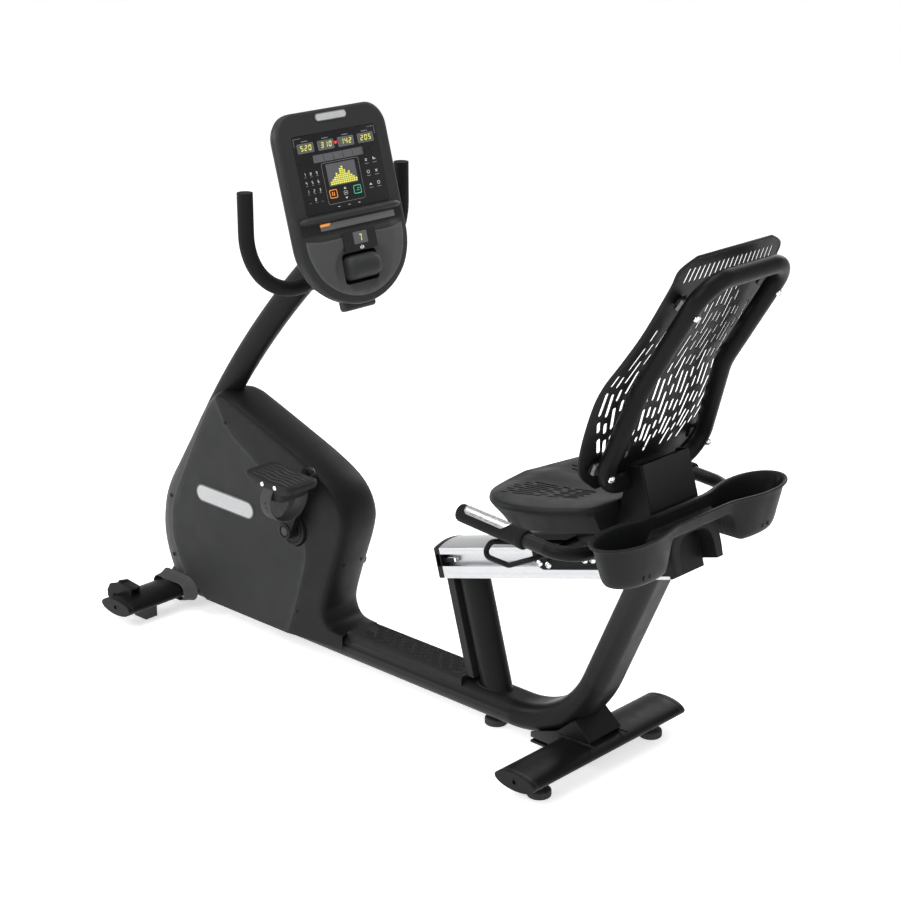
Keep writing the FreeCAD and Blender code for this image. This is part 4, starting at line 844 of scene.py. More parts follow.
def heart(y, u, size, depth):
    pts = []
    for i in range(28):
        a = 2 * math.pi * i / 28
        pts.append((y + size * math.sin(a) ** 3,
                    u + size * (13 * math.cos(a) - 5 * math.cos(2 * a) - 2 * math.cos(3 * a)
                                - math.cos(4 * a)) / 16))
    return slab(pts, depth, depth + PRINT)


def make_screen():
    d = 0.05
    flat = slab(rounded_box(-121.6, 121.6, 4.4, 171.6, 5.6), 0.3, 1.9)
    piece("screen_membrane", *flat, "membrane", "frame", ["display_overlay"], "screen",
          bevel=0.0003)
    white, grey, yellow, orange, green, red, glass, dark = ([] for _ in range(8))
    for column, value in enumerate(("520", "310", "142", "205")):
        mid = 87 - 58 * column
        glass.append(plate(mid - 22, mid + 22, 136, 154, d - 0.05, 0.3, 2))
        grey.append(frame_line(mid - 23, mid + 23, 135, 155, 0.7, d, 2.5))
        for i, ch in enumerate(value):
            yellow += digit(ch, mid + 15 - 11.5 * i, 139.6, 7.6, 11.5, 1.7, d - 0.1)
        grey.append(plate(mid - 9, mid + 9, 158.4, 160, d))
    red.append(heart(0.5, 146, 4.2, d - 0.1))
    glass.append(plate(-72, 72, 111, 127, d - 0.05, 0.3, 1))
    dark += [plate(-70 + 3.5 * i, -68.9 + 3.5 * i, 112.6, 125.4, d - 0.12, 0.2)
             for i in range(0, 40, 8)]
    for row in range(4):
        for column in range(3):
            number = "789" "456" "123" " 0 "
            ch = number[row * 3 + column]
            y, u = 104 - 17 * column, 88 - 18 * row
            if ch != " ":
                white += digit(ch, y + 2, u, 3.6, 6.2, 0.8, d, 0.08)
            grey.append(plate(y - 3.5, y + 3, u - 3.4, u - 2.6, d))
    grey.append(frame_line(-54, 54, 20, 108, 0.7, d, 5))
    glass.append(plate(-42, 42, 57, 104, d - 0.05, 0.3, 2))
    for i, count in enumerate((2, 3, 4, 6, 5, 8, 9, 7, 5, 6, 4, 3, 2)):
        for k in range(count):
            y, u = 36.5 - 6.0 * i, 59.5 + 4.1 * k
            yellow.append(plate(y - 4.9, y, u, u + 3.1, d - 0.12, 0.2))
    orange.append(frame_line(24, 46, 32, 50, 1.4, d, 3))
    orange += [plate(37.2, 39, 37, 45, d), plate(32, 33.8, 37, 45, d)]
    green.append(frame_line(-46, -24, 32, 50, 1.4, d, 3))
    green += [plate(-42, -34, 43, 44.2, d), plate(-40, -32, 38.6, 39.8, d)]
    white += [arrow(0, 47, 3.6, True, d), arrow(0, 29.5, 3.6, False, d)]
    white.append(frame_line(-5, 5, 34.5, 42.5, 0.6, d, 1.2))
    white.append(plate(-2.4, 2.4, 37.9, 39.1, d))
    for column in range(2):
        for row in range(3):
            y, u = -76 - 24 * column, 96 - 26 * row
            kind = (column * 3 + row) % 4
            if kind == 0:
                white += [plate(y - 3, y + 3, u + k, u + k + 1.4, d) for k in (0, 3)]
            elif kind == 1:
                white.append(frame_line(y - 4, y + 4, u - 1, u + 6, 0.9, d, 3))
            elif kind == 2:
                white.append(arrow(y, u, 4, row != 1, d))
            else:
                white += [plate(y - 4 + 3 * i, y - 2.4 + 3 * i, u, u + 2 + 2 * i, d)
                          for i in range(3)]
            grey.append(plate(y - 6, y + 6, u - 6.4, u - 5.2, d))
    white += [plate(30 - 30 * i, 24 - 30 * i, 12.5, 13.6, d) for i in range(3)]
    for side in (1, -1):
        grey += [plate(min(side * 96, side * 117), max(side * 96, side * 117), 166, 166.8, d),
                 plate(side * 117 - 0.4, side * 117 + 0.4, 150, 166.8, d)]
    dark.append(plate(-50, 46, -86, -42, -11.9, 1.4, 6))
    glass.append(plate(-24, 16, -72, -46, -12.1, 0.5, 2))
    yellow += digit("7", 2, -67, 9, 15, 2.0, -12.35)
    white += [plate(*spot, -12.1, 0.4) for spot in ((-9, -6, -83, -77), (-4.5, -2.5, -84, -75.5),
                                                    (-1, 2, -83, -78))]
    for name, made, mat, slot, nodes in (
            ("print_white", white, "print_white", "screen", ()),
            ("print_grey", grey, "print_grey", "screen", ()),
            ("lit_digits", yellow, "lit_yellow", "lcd", ["display_windows"]),
            ("key_orange", orange, "lit_orange", "screen", ()),
            ("key_green", green, "lit_green", "screen", ()),
            ("heart_mark", red, "lit_red", "screen", ()),
            ("readout_glass", glass, "glass_grey", "lcd", ["display_windows"]),
            ("readout_dark", dark, "membrane", "screen", ["display_windows"])):
        piece(name, *join(made), mat, "frame", nodes, slot, angle=20)


# ---- seat --------------------------------------------------------
PAN = [(-260, 0), (-269, 70), (-293, 136), (-342, 190), (-404, 211), (-480, 199), (-540, 166),
       (-562, 146)]


def pan_outline():
    """Half round the front from the left rear corner, then the straight back."""
    left = smooth_line([(x, y, 0) for x, y in PAN[::-1]], 7)
    right = [Vector((p[0], -p[1], 0)) for p in left[::-1]][1:]
    loop = [(p[0], p[1]) for p in left + right]
    back = [(-565.0, -146 + 292 * i / 12) for i in range(13)]
    return loop + back[1:-1]


def pan_height(x):
    return 600 + 28 * (-260 - x) / 304


def pan_dish(x, y):
    """Shallow hollow of the sitting surface, falling away at the front edge."""
    hollow = -9 * smoothstep(1.25 - math.hypot((x + 430) / 140, y / 165))
    ridge = 3.5 * math.exp(-(y / 34) ** 2) * smoothstep((x + 470) / 120)
    nose = -9 * smoothstep((x + 330) / 62)
    return hollow + ridge + nose


def make_seat_pan():
    loop = pan_outline()
    top = ease_in(loop, 9)
    slots = []
    for side in (1, -1):
        for j in range(8):
            front = Vector((-318 - 4 * abs(j - 3.5), 58 + 13.5 * j))
            back = Vector((-486, 34 + 8.6 * j))
            cuts = ((0.0, 0.1), (0.15, 0.52), (0.59, 0.74), (0.79, 1.0)) if j % 2 else \
                ((0.05, 0.4), (0.46, 0.58), (0.64, 0.95))
            for s, e in cuts:
                a, b = front.lerp(back, s), front.lerp(back, e)
                c = (a + b) / 2
                slots.append(stadium(c[0], side * c[1], (b - a).length, 6.0,
                                     math.atan2(side * (b - a)[1], (b - a)[0]), 3))
    flat = flat_mesh(top, slots, 9, keep_clear=0.4)

    def level(x, y):
        return P(x, y, pan_height(x) + pan_dish(x, y))

    skin = placed(flat, level)
    rows = []
    for inset, drop in ((9, 0.0), (6, 0.6), (3.4, 2.0), (1.4, 4.4), (0.3, 7.6), (0.0, 11)):
        rows.append([P(x, y, pan_height(x) + pan_dish(*q) * (1 - drop / 11) - drop)
                     for (x, y), q in zip(ease_in(loop, inset), top)])
    for share in (0.2, 0.4, 0.6, 0.78, 0.9, 0.96, 1.0):
        row = []
        for x, y in loop:
            low_x, low_y = -292 - 0.9 * (-262 - x), 0.84 * y
            low_z = 541 + 33 * (-292 - low_x) / 272
            pull = (share + 0.10 * math.sin(math.pi * share)) ** 1.25
            z = pan_height(x) - 11
            row.append(P(x + (low_x - x) * pull, y + (low_y - y) * pull,
                         z + (low_z - z) * share))
        rows.append(row)
    piece("seat_pan_skin", *join([skin, grid(rows, False, True)]), "seat", "seat",
          ["seat_pan"], "dark_plastic", weld=3e-5, solid=0.004, angle=36, core=P(-430, 0, 560))


SHELL = ((655, -541, 112, 4), (700, -558, 172, 8), (755, -583, 196, 12), (835, -611, 199, 14),
         (885, -629, 190, 13), (940, -662, 179, 10), (1000, -698, 166, 10), (1085, -738, 154, 6),
         (1120, -752, 150, 4), (1140, -759, 112, 2))


def shell_at(z):
    """(x, half-width, wrap) of the back shell at a height, smoothly."""
    track = SHELL_TRACK
    z = min(max(z, track[0][0]), track[-1][0])
    for a, b in zip(track, track[1:]):
        if a[0] <= z <= b[0]:
            t = (z - a[0]) / max(b[0] - a[0], 1e-9)
            return [a[i] + (b[i] - a[i]) * t for i in (1, 2, 3)]
    return list(track[-1][1:])


def shell_track():
    mids = smooth_line([(z, x, w) for z, x, _, w in SHELL], 8)
    halves = smooth_line([(z, h, 0) for z, _, h, _ in SHELL], 8)
    return [(m[0], m[1], h[1], m[2]) for m, h in zip(mids, halves)]


SHELL_TRACK = shell_track()


def make_back_shell():
    def place(y, z):
        x, half, curl = shell_at(z)
        v = min(1.0, abs(y) / half)
        return P(x + curl * v * v, y, z)

    rim = [(half, z) for z, _, half, _ in SHELL_TRACK]
    outline = thin_out(rim + [(-y, z) for y, z in rim[::-1]], 2.0)
    slots = []

    def column(z, v):
        """A fan line at a height: lines gather towards the foot of the shell."""
        half = shell_at(z)[1]
        return v * half * (0.80 + 0.20 * smoothstep((z - 700) / 160))

    for k in range(-10, 11):
        v = k / 10.9
        z = 706.0 + (k % 2) * 26
        long = (k + 20) % 4 < 2
        while z < 1122:
            length = (50 if long else 26) * (1.0 if z > 760 else 0.8)
            width = 9.2 - 3.0 * smoothstep((z - 740) / 230)
            if z > 1058:
                z, length = 1092, 31
            z0, z1 = z + width / 2, z + length - width / 2
            z1 = z1 if z > 1080 else min(z1, 1080)
            z += length + (11 if z < 800 else 10)
            long = not long
            if z1 - z0 < 8:
                continue
            y0, y1 = column(z0, v), column(z1, v)
            mid_y, mid_z = (y0 + y1) / 2, (z0 + z1) / 2
            half = shell_at(mid_z)[1]
            clip = any(math.hypot(abs(mid_y) - cy, mid_z - cz) < 34 + (z1 - z0) * 0.3
                       for cy, cz in ((150, 704), (125, 1043)))
            foot = mid_z < 724 and abs(mid_y) < 34
            if clip or foot or abs(mid_y) > half - 15:
                continue
            slots.append(stadium(mid_y, mid_z, z1 - z0 + width, width,
                                 math.atan2(z1 - z0, y1 - y0), 3))
    flat = flat_mesh(outline, slots, 11, keep_clear=0.4)
    piece("back_shell_skin", *placed(flat, place), "seat", "seat", ["back_shell"],
          "dark_plastic", solid=0.0022, offset=1.0, angle=50, core=P(0, 0, 900))
    # turned edge round the shell
    edge = [place(y, z) for y, z in outline]
    n = len(edge)
    rows = []
    for i in range(n):
        t = (edge[(i + 1) % n] - edge[i - 1]).normalized()
        side = t.cross(Vector((1, 0, 0.35)).normalized()).normalized()
        other = side.cross(t)
        rows.append([edge[i] + side * (a * 0.001) + other * (b * 0.001)
                     for a, b in circle(3.4, 10)])
    piece("back_shell_edge", *grid(rows, True, True), "seat", "seat", (), "dark_plastic", angle=60)


TUB = (-685.0, 620.0)


def make_cup_holder():
    """Two deep tubs joined by a narrow shallow trough, drawn down from one wide rim."""
    quarter = []
    for i in range(27):
        a = math.pi / 2 * (1 - i / 26)
        quarter.append((46 * math.cos(a), 195 + 87 * math.sin(a)))
    for i in range(1, 23):
        y = 195 * (1 - i / 22)
        quarter.append((28 + 18 * smoothstep((y - 70) / 110), y))
    loop = quarter + [(x, -y) for x, y in quarter[::-1]][1:]
    loop = loop + [(-x, y) for x, y in loop[::-1]][1:-1]

    def floor_depth(y):
        return 28 + 60 * smoothstep((abs(y) - 92) / 44)

    def ring_at(shrink, depth_share, grow=0.0, lift=0.0):
        row = []
        for i, (x, y) in enumerate(loop):
            cy = max(-180.0, min(180.0, y))
            a, b = loop[i - 1], loop[(i + 1) % len(loop)]
            t = Vector((b[0] - a[0], b[1] - a[1])).normalized()
            out = Vector((t[1], -t[0]))
            if out.dot(Vector((x, y - cy))) < 0:
                out = -out
            px, py = x * shrink + out[0] * grow, cy + (y - cy) * shrink + out[1] * grow
            drop = floor_depth(y) * depth_share
            lean = -15 * depth_share * smoothstep((abs(y) - 80) / 80) * (1 if y > 0 else -1)
            row.append(P(TUB[0] + px, py + lean, TUB[1] - drop + lift))
        return row

    rows = [ring_at(1, 0, 6.4, -5.0), ring_at(1, 0, 6.9, -2.6), ring_at(1, 0, 6.2, -0.8),
            ring_at(1, 0, 5.5, 0.0), ring_at(1, 0, 1.5, 0.0), ring_at(1, 0.01, -0.6, -0.8),
            ring_at(0.985, 0.05, -0.9), ring_at(0.955, 0.2), ring_at(0.92, 0.4),
            ring_at(0.885, 0.6), ring_at(0.855, 0.78), ring_at(0.83, 0.89), ring_at(0.79, 0.96),
            ring_at(0.73, 0.995), ring_at(0.6, 1.0), ring_at(0.3, 1.0), ring_at(0.02, 1.0)]
    piece("cup_holder_skin", *grid(rows, False, True), "seat", "seat", ["cup_holder"],
          "dark_plastic", weld=4e-4, solid=0.003, offset=1.0, angle=42, core=P(-685, 0, 800))
    drains = [block((TUB[0] + x, y - 2.2, 543), (TUB[0] + x + 4.9, y + 2.2, 551))
              for y in (195, 178, -178, -195) for x in (-42.9, 38)]
    piece("tub_drains", *join(drains), "black", "seat", (), "dark_plastic")


def make_grips():
    """Foam sleeves with end collars and bright contact plates."""
    front, heading = Vector((-330, 260, 591)), Vector((-272, 0, -21)).normalized()
    for side, tag in SIDES:
        def at(d, side=side):
            p = front + heading * d
            return P(p[0], side * p[1], p[2])
        origin, axis = at(0), at(1) - at(0)
        profile = [(-5, 0.5), (-5, 11), (-4.2, 14.5), (-2.5, 16.8), (0.5, 18), (20, 18.3),
                   (90, 18.4), (146, 18.2), (150, 18.8), (152, 19.8), (163, 19.8), (165, 18.6),
                   (165, 13)]
        made = lathe(origin, axis, [(d / 1000, r / 1000) for d, r in profile], 40)
        piece("side_grip_" + tag, *made, "foam", "seat", ["handle_grips"], "foam", angle=50)
        up = Vector((0, 0, 1))
        up = (up - axis.normalized() * up.dot(axis.normalized())).normalized()
        across = axis.normalized().cross(up)
        rows = []
        for i in range(29):
            d = 12 + 112 * i / 28
            near = min(d - 12, 124 - d, 14) / 14
            width = math.radians(58) * math.sqrt(max(0.02, min(1, 1 - (1 - near) ** 2)))
            row = []
            for k in range(13):
                a = -width + 2 * width * k / 12
                r = 19.2 / 1000
                row.append(at(d) + up * (r * math.cos(a)) + across * (r * math.sin(a)))
            rows.append(row)
        piece("pulse_" + tag, *grid(rows), "pulse", "seat", ["pulse_plates"], "chrome",
              solid=0.001, angle=60, core=at(60))


PEDAL_AXES = {"left": (305.5, 465.8), "right": (454.5, 160.2)}


def make_pedals():
    for side, tag in SIDES:
        body = tag + "_pedal"
        ex, ez = PEDAL_AXES[tag]
        outline = [(-64, 2), (-62, 8), (-56, 10.4), (-30, 10), (26, 12), (60, 16.4), (80, 19),
                   (86, 17), (88, 12), (80, 5), (60, 0), (36, -5), (27, -33), (-29, -33),
                   (-38, -14), (-60, -8)]
        rows = []
        for i in range(21):
            t = -1 + 2 * i / 20
            k = 1 - 0.13 * abs(t) ** 6
            kz = 1 - 0.10 * abs(t) ** 8
            rows.append([P(ex + x * k, side * (146 + 46 * t), ez + (z - 4) * kz + 4)
                         for x, z in outline])
        piece("pedal_block_" + tag, *tube_between(rows), "pedal", body, [body],
              "dark_plastic", bevel=0.003, segments=3, angle=40)
        treads = []
        for row in range(6):
            y = 113 + 13 * row
            path = []
            for i in range(33):
                x = -52 + 118 * i / 32
                wave = 3.2 * math.sin((x + 9 * (row % 2)) / 9.0)
                z = 10.2 + (0.0 if x < -30 else 0.036 * (x + 30) + 0.0009 * max(0, x - 10) ** 2)
                path.append(P(ex + x * 0.99, side * (y + wave * 0.7), ez + z - 0.4))
            treads.append(tube_between(rings(path, circle(0.0019, 8, 0.8))))
        piece("pedal_tread_" + tag, *join(treads), "rubber", body, (), "rubber")
        # broad strap under the foot plate with its buckle
        path = [P(ex + 3, side * (146 + 55.5 * math.cos(a) * 0.985),
                  ez - 35 - 52.5 * math.sin(a)) for a in
                [math.radians(-38 + 256 * i / 40) for i in range(41)]]
        section = [(16.5, -1.3), (16.5, 1.3), (-16.5, 1.3), (-16.5, -1.3)]
        strap = []
        for i, p in enumerate(path):
            t = (path[min(i + 1, 40)] - path[max(i - 1, 0)]).normalized()
            out = t.cross(Vector((1, 0, 0))).normalized()
            strap.append([p + Vector((a / 1000, 0, 0)) + out * (b / 1000) for a, b in section])
        piece("strap_loop_" + tag, *tube_between(strap), "rubber", body,
              [tag + "_pedal_strap"], "rubber", bevel=0.0006)
        holes = []
        for i in range(6, 20, 2):
            p = path[i]
            t = (path[i + 1] - path[i - 1]).normalized()
            out = t.cross(Vector((1, 0, 0))).normalized()
            holes.append(lathe(p - out * 0.0016, out, [(0, 0.0003), (0, 0.0026), (0.0032, 0.0026),
                                                       (0.0032, 0.0003)], 12))
        piece("strap_holes_" + tag, *join(holes), "black", body, (), "rubber")
        # buckle plates and dome screws at both ends of the strap
        metal = []
        for y in (99.6, 192.4):
            for x in (-18, 22):
                origin = P(ex + x, side * y, ez + 2)
                metal.append(lathe(origin, Vector((0, side * (1 if y > 150 else -1), 0)),
                                   [(0, 0.0055), (0.0008, 0.0052), (0.0016, 0.004),
                                    (0.0021, 0.001)], 20))
        piece("pedal_screws_" + tag, *join(metal), "chrome", body, (), "chrome", angle=50)


# ---- smaller parts -----------------------------------------------
def make_console_back():
    """Tapered back moulding with a vent and a small chin."""
    rows = [[face(depth, y, u) for y, u in console_outline(inset)]
            for inset, depth in ((1.0, 16.8), (0.6, 18.0), (0.8, 22), (4, 29), (11, 37), (21, 44),
                                 (33, 48.5), (46, 50), (70, 50))]
    verts, faces = grid(rows, False, True)
    faces.append(tuple(range(len(verts) - len(rows[-1]), len(verts))))
    piece("console_back", verts, faces, "console", "frame", ["console_rear_shell"],
          "dark_plastic", angle=50, core=face(20, 0, 20))
    chin = block((22, -46, -209), (46, 46, -170), face)
    piece("console_chin", *chin, "console", "frame", ["console_rear_shell"], "dark_plastic",
          bevel=0.007, segments=4, angle=60)
    vents = []
    for i in range(9):
        u = 150 - 11 * i
        vents.append(slab(stadium(0, u, 120 - 4 * abs(i - 4), 4, 0), 49.6, 50.6))
    piece("console_vents", *join(vents), "black", "frame", (), "dark_plastic")
    away = face(1, 0, 0) - face(0, 0, 0)
    screws = [lathe(face(49.5, y, u), away, [(0, 0.0045), (0.0014, 0.0042), (0.0018, 0.003),
                                             (0.0009, 0.0022), (0.0009, 0.0003)], 18)
              for y, u in ((96, 160), (-96, 160), (96, -30), (-96, -30), (0, -128))]
    piece("console_screws", *join(screws), "steel", "frame", (), "steel")


def make_boots():
    for side, tag in SIDES:
        rows = []
        for y, width, height, cz, r in ((54, 134, 62, 55, 28), (57, 131, 59, 54, 27),
                                        (61, 127, 55, 52.6, 26), (65.5, 123, 51.5, 51.2, 24),
                                        (71, 119.5, 48, 50, 21), (76, 117, 45.5, 49.5, 20),
                                        (78.8, 116, 44.5, 49.2, 20), (79.7, 114, 43, 49, 19),
                                        (79.2, 111, 41, 49, 18)):
            loop = rounded_box(-width / 2, width / 2, -height / 2, height / 2, r, 8)
            rows.append([P(800 + (y - 54) / 2.1 + a, side * y, max(cz + b, 21))
                         for a, b in loop])
        piece("boot_" + tag, *grid(rows, False, True), "boot", "frame", ["boot_collars"],
              "boot_plastic", angle=60, core=P(810, 0, 50))


def make_arch_cover():
    outer = [(-76, 14), (-78, 40), (-76, 66), (-66, 84), (-48, 94), (-24, 96), (24, 96), (48, 94),
             (66, 84), (76, 66), (78, 40), (76, 14)]
    outer = [(p[0], p[1]) for p in smooth_line([(a, b, 0) for a, b in outer], 4)]
    inner = []
    for i in range(len(outer)):
        a = math.pi * (1 - i / (len(outer) - 1))
        c, s = math.cos(a), math.sin(a)
        inner.append((55 * math.copysign(abs(c) ** 0.55, c), 14 + 68 * abs(s) ** 0.55))
    rows = []
    for x, grow in ((-602, 0), (-649, 0), (-652, -2.5)):
        rows.append([rail(x, a + (-grow if a < 0 else grow), b + (grow if b > 60 else 0))
                     for a, b in outer])
    back = [rail(-652, a, b) for a, b in inner]
    inside_rows = [[rail(x, a, b) for a, b in inner] for x in (-650, -602)]
    piece("arch_cover", *grid(rows + [back] + inside_rows), "cover", "seat",
          ["carriage_rear_cover"], "dark_plastic", angle=40)
    step = [[rail(-652.2, a * (k + 0.02), 14 + (b - 14) * k) for a, b in outer]
            for k in (0.93, 0.90)]
    piece("arch_groove", *grid(step), "black", "seat", (), "dark_plastic")


def make_crank_details():
    for side, tag in SIDES:
        axis = Vector((0, side, 0))
        raised = [lathe(P(CRANK[0], side * 62, CRANK[1]), axis,
                        [(-0.001, r + 0.0018), (0.0011, r + 0.0014), (0.0011, r - 0.0014),
                         (-0.001, r - 0.0018)], 48) for r in (0.0365, 0.027)]
        piece("crank_rings_" + tag, *join(raised), "frame", "crank", (), "iron")
        hub = lathe(P(CRANK[0], side * 84, CRANK[1]), axis,
                    [(-0.001, 0.0195), (0.0018, 0.0190), (0.0028, 0.0170), (0.0030, 0.0125),
                     (0.0012, 0.0118), (0.0012, 0.0096), (-0.004, 0.0094), (-0.004, 0.0003)], 40)
        piece("crank_hub_" + tag, *hub, "frame", "crank", (), "iron")
        ex, ez = PEDAL_AXES[tag]
        eye = lathe(P(ex, side * 66.8, ez), -axis,
                    [(-0.0014, 0.0148), (0, 0.0142), (0.0008, 0.012), (0.0003, 0.009),
                     (0.0003, 0.0003)], 32)
        piece("crank_eye_" + tag, *eye, "steel", "crank", (), "steel")


def make_deck_ribs():
    ribs = []
    for row in range(9):
        y = -27 + 6.75 * row
        x = -104 + (row % 3) * 9
        while x < 196:
            length = 20 if row % 2 else 30
            if x + length < 206:
                ribs.append(bar([P(x + length * i / 4, y, 99.8) for i in range(5)], 0.0016, 8,
                                0.0012))
            x += length + 9
    piece("deck_ribs", *join(ribs), "cover", "frame", (), "dark_plastic")
    border = rounded_box(-112, 214, -33.5, 33.5, 8)
    path = [P(a, b, 99.6) for a, b in border]
    rows = rings(path + path[:2], circle(0.0014, 8))
    piece("deck_border", *grid(rows, False, True), "cover", "frame", (), "dark_plastic")


def make_pan_inner():
    loop = ease_in(pan_outline(), 14)
    flat = flat_mesh(loop, [], 30)
    made = placed(flat, lambda x, y: P(x, y, pan_height(x) - 26))
    piece("pan_inner_web", *made, "black", "seat", (), "dark_plastic")


def dome(origin, axis, radius, height, sides=24):
    """Button head with a hexagon recess."""
    profile = [(0, radius), (height * 0.25, radius), (height * 0.62, radius * 0.86),
               (height * 0.9, radius * 0.6), (height, radius * 0.42), (height * 0.6, radius * 0.38),
               (height * 0.6, 0.0002)]
    return lathe(origin, axis, profile, sides)


BACK_CLIPS = (((-589.8, 149.9, 704.0), (0.943, 0, 0.334)),
              ((-754.1, 125.0, 1042.8), (0.847, 0, 0.531)))


def make_fasteners():
    bright, blocks = [], []
    for side in (1, -1):
        for (x, y, z), lean in BACK_CLIPS:
            centre, normal = P(x, side * y, z), Vector(lean)
            bright.append(dome(centre - normal * 0.0178, -normal, 0.0078, 0.0055))
            blocks.append(lathe(centre + normal * 0.016, normal,
                                [(0.0, 0.0002), (0.0, 0.0155), (0.0068, 0.0155)], 4))
    piece("clip_blocks", *join(blocks), "strip", "seat", (), "dark_plastic")
    for side in (1, -1):
        for along, up in ((-292, 36), (-315, 32), (-415, 42), (-436, 42), (-560, 40)):
            bright.append(dome(rail(along, side * 58, up), (0, side, 0), 0.0082, 0.0056))
        for along, up in ((-470, 88), (-540, 92)):
            bright.append(dome(rail(along, side * 58, up), (0, side, 0), 0.006, 0.004))
    piece("carriage_bolts", *join(bright), "chrome", "seat", ["seat_bolts"], "chrome", angle=50)
    dark = [dome(P(x, side * 56.1, z), (0, side, 0), 0.0056, 0.0014) for x, z in SCREWS
            for side in (1, -1)]
    dark += [dome(P(246.4, side * 27, 251), Vector((-0.986, side * 0.165, 0)), 0.006, 0.001)
             for side in (1, -1)]
    piece("shroud_screw_heads", *join(dark), "black", "frame", ["shroud_screws"], "steel")
    stab = []
    for x in (810, -457):
        for side in (1, -1):
            stab.append(lathe(P(x, side * 243.2, 49), (0, side, 0),
                              [(0, 0.0072), (0.001, 0.007), (0.001, 0.0052), (-0.003, 0.005),
                               (-0.003, 0.0003)], 6))
            stab.append(lathe(P(x + 16, side * 243.2, 49), (0, side, 0),
                              [(0, 0.004), (0.0008, 0.0036), (-0.002, 0.002),
                               (-0.002, 0.0003)], 20))
    piece("end_cap_sockets", *join(stab), "black", "frame", (), "steel")


def bead(path, radius=0.0022):
    """Weld bead: a thin bar whose girth ripples along its run."""
    rows = []
    for i, (p, girth) in enumerate(zip(path, rings(path, circle(1.0, 8)))):
        k = radius * (1 + 0.18 * math.sin(i * 2.1) + rng.uniform(-0.06, 0.06))
        rows.append([p + (q - p) * k for q in girth])
    return grid(rows, False, True)


def make_welds():
    # post into base, then the saddle on the rear bar
    foot, turn = P(-182, 0, 88.6), [2 * math.pi * i / 90 for i in range(91)]
    beads = [bead([foot + Vector((1, 0, 0)) * (0.0395 * math.cos(a))
                   + Vector((0, 1, 0)) * (0.0275 * math.sin(a)) for a in turn])]
    for y in (50, -50):
        beads.append(bead([P(-442 + 2 * i / 40, y * 1.01, 0) + Vector((0, 0, 0.030 + 0.05 * i / 40))
                           for i in range(5)]))
    for side in (1, -1):
        beads.append(bead([P(-505 + 96 * i / 40, side * 51, 66.8 + 1.2 * math.cos(i / 12.7))
                           for i in range(41)]))
    piece("frame_welds", *join(beads), "frame", "frame", (), "frame_paint")


def make_rail_details():
    """Grooves of the extrusion and the bright lug inside its open end."""
    lines = []
    for side in (1, -1):
        for y, z, half in ((50.1, 11, 0.5), (50.1, 60.5, 0.5), (30.1, 28, 0.35),
                           (30.1, 38.5, 0.35), (30.1, 49, 0.35)):
            lines.append(block((-612, side * y - 0.15, z - half), (-1, side * y + 0.15, z + half),
                               rail))
    piece("rail_grooves", *join(lines), "steel", "frame", (), "rail_metal")
    lug = [block((-35.5, side * 31, 33), (-8, side * 41, 43), rail) for side in (1, -1)]
    piece("rail_lugs", *join(lug), "chrome", "frame", (), "chrome", bevel=0.001)


def make_feet():
    """Knurled rims of the three levelling feet with their bright studs."""
    for x, y, tag in ((-468, 180, "rear_left"), (-468, -180, "rear_right"), (-190, 0, "centre")):
        body = tag + "_foot"
        rows = []
        for z, k in ((0.0, 0.93), (1.2, 0.99), (3, 1.0), (11.5, 1.0), (13.4, 0.98), (15, 0.9)):
            row = []
            for i in range(120):
                a = 2 * math.pi * i / 120
                r = 25 * k - (1.3 if i % 4 in (0, 1) and 1 < z < 14 else 0.0)
                row.append(P(x + r * math.cos(a), y + r * math.sin(a), z))
            rows.append(row)
        piece("foot_pad_" + tag, *tube_between(rows), "rubber", body, [body], "rubber", angle=45)
        stud = lathe(P(x, y, 14), (0, 0, 1), [(d / 1000, (4.6 + 0.4 * (i % 2)) / 1000)
                                            for i, d in enumerate(range(0, 30, 1))], 20)
        nut = lathe(P(x, y, 15), (0, 0, 1), [(0, 0.0003), (0, 0.009), (0.0062, 0.009),
                                           (0.0062, 0.0003)], 6)
        piece("foot_stud_" + tag, *join([stud, nut]), "steel", body, (), "steel", angle=40)


# ---- CAD nodes shown as they are ---------------------------------
def dress(node, mat, bevel=0.0, angle=30.0):
    """Give a shown CAD node its finish, and soften its edges with modifiers."""
    obj = NODES[node]
    obj.data.materials.clear()
    obj.data.materials.append(M[mat])
    if bevel:
        weld = obj.modifiers.new("weld", "WELD")
        weld.merge_threshold = 0.00002
        mod = obj.modifiers.new("edges", "BEVEL")
        mod.width = bevel
        mod.segments = 2
        mod.limit_method = "ANGLE"
        mod.angle_limit = math.radians(angle)
        mod.harden_normals = True


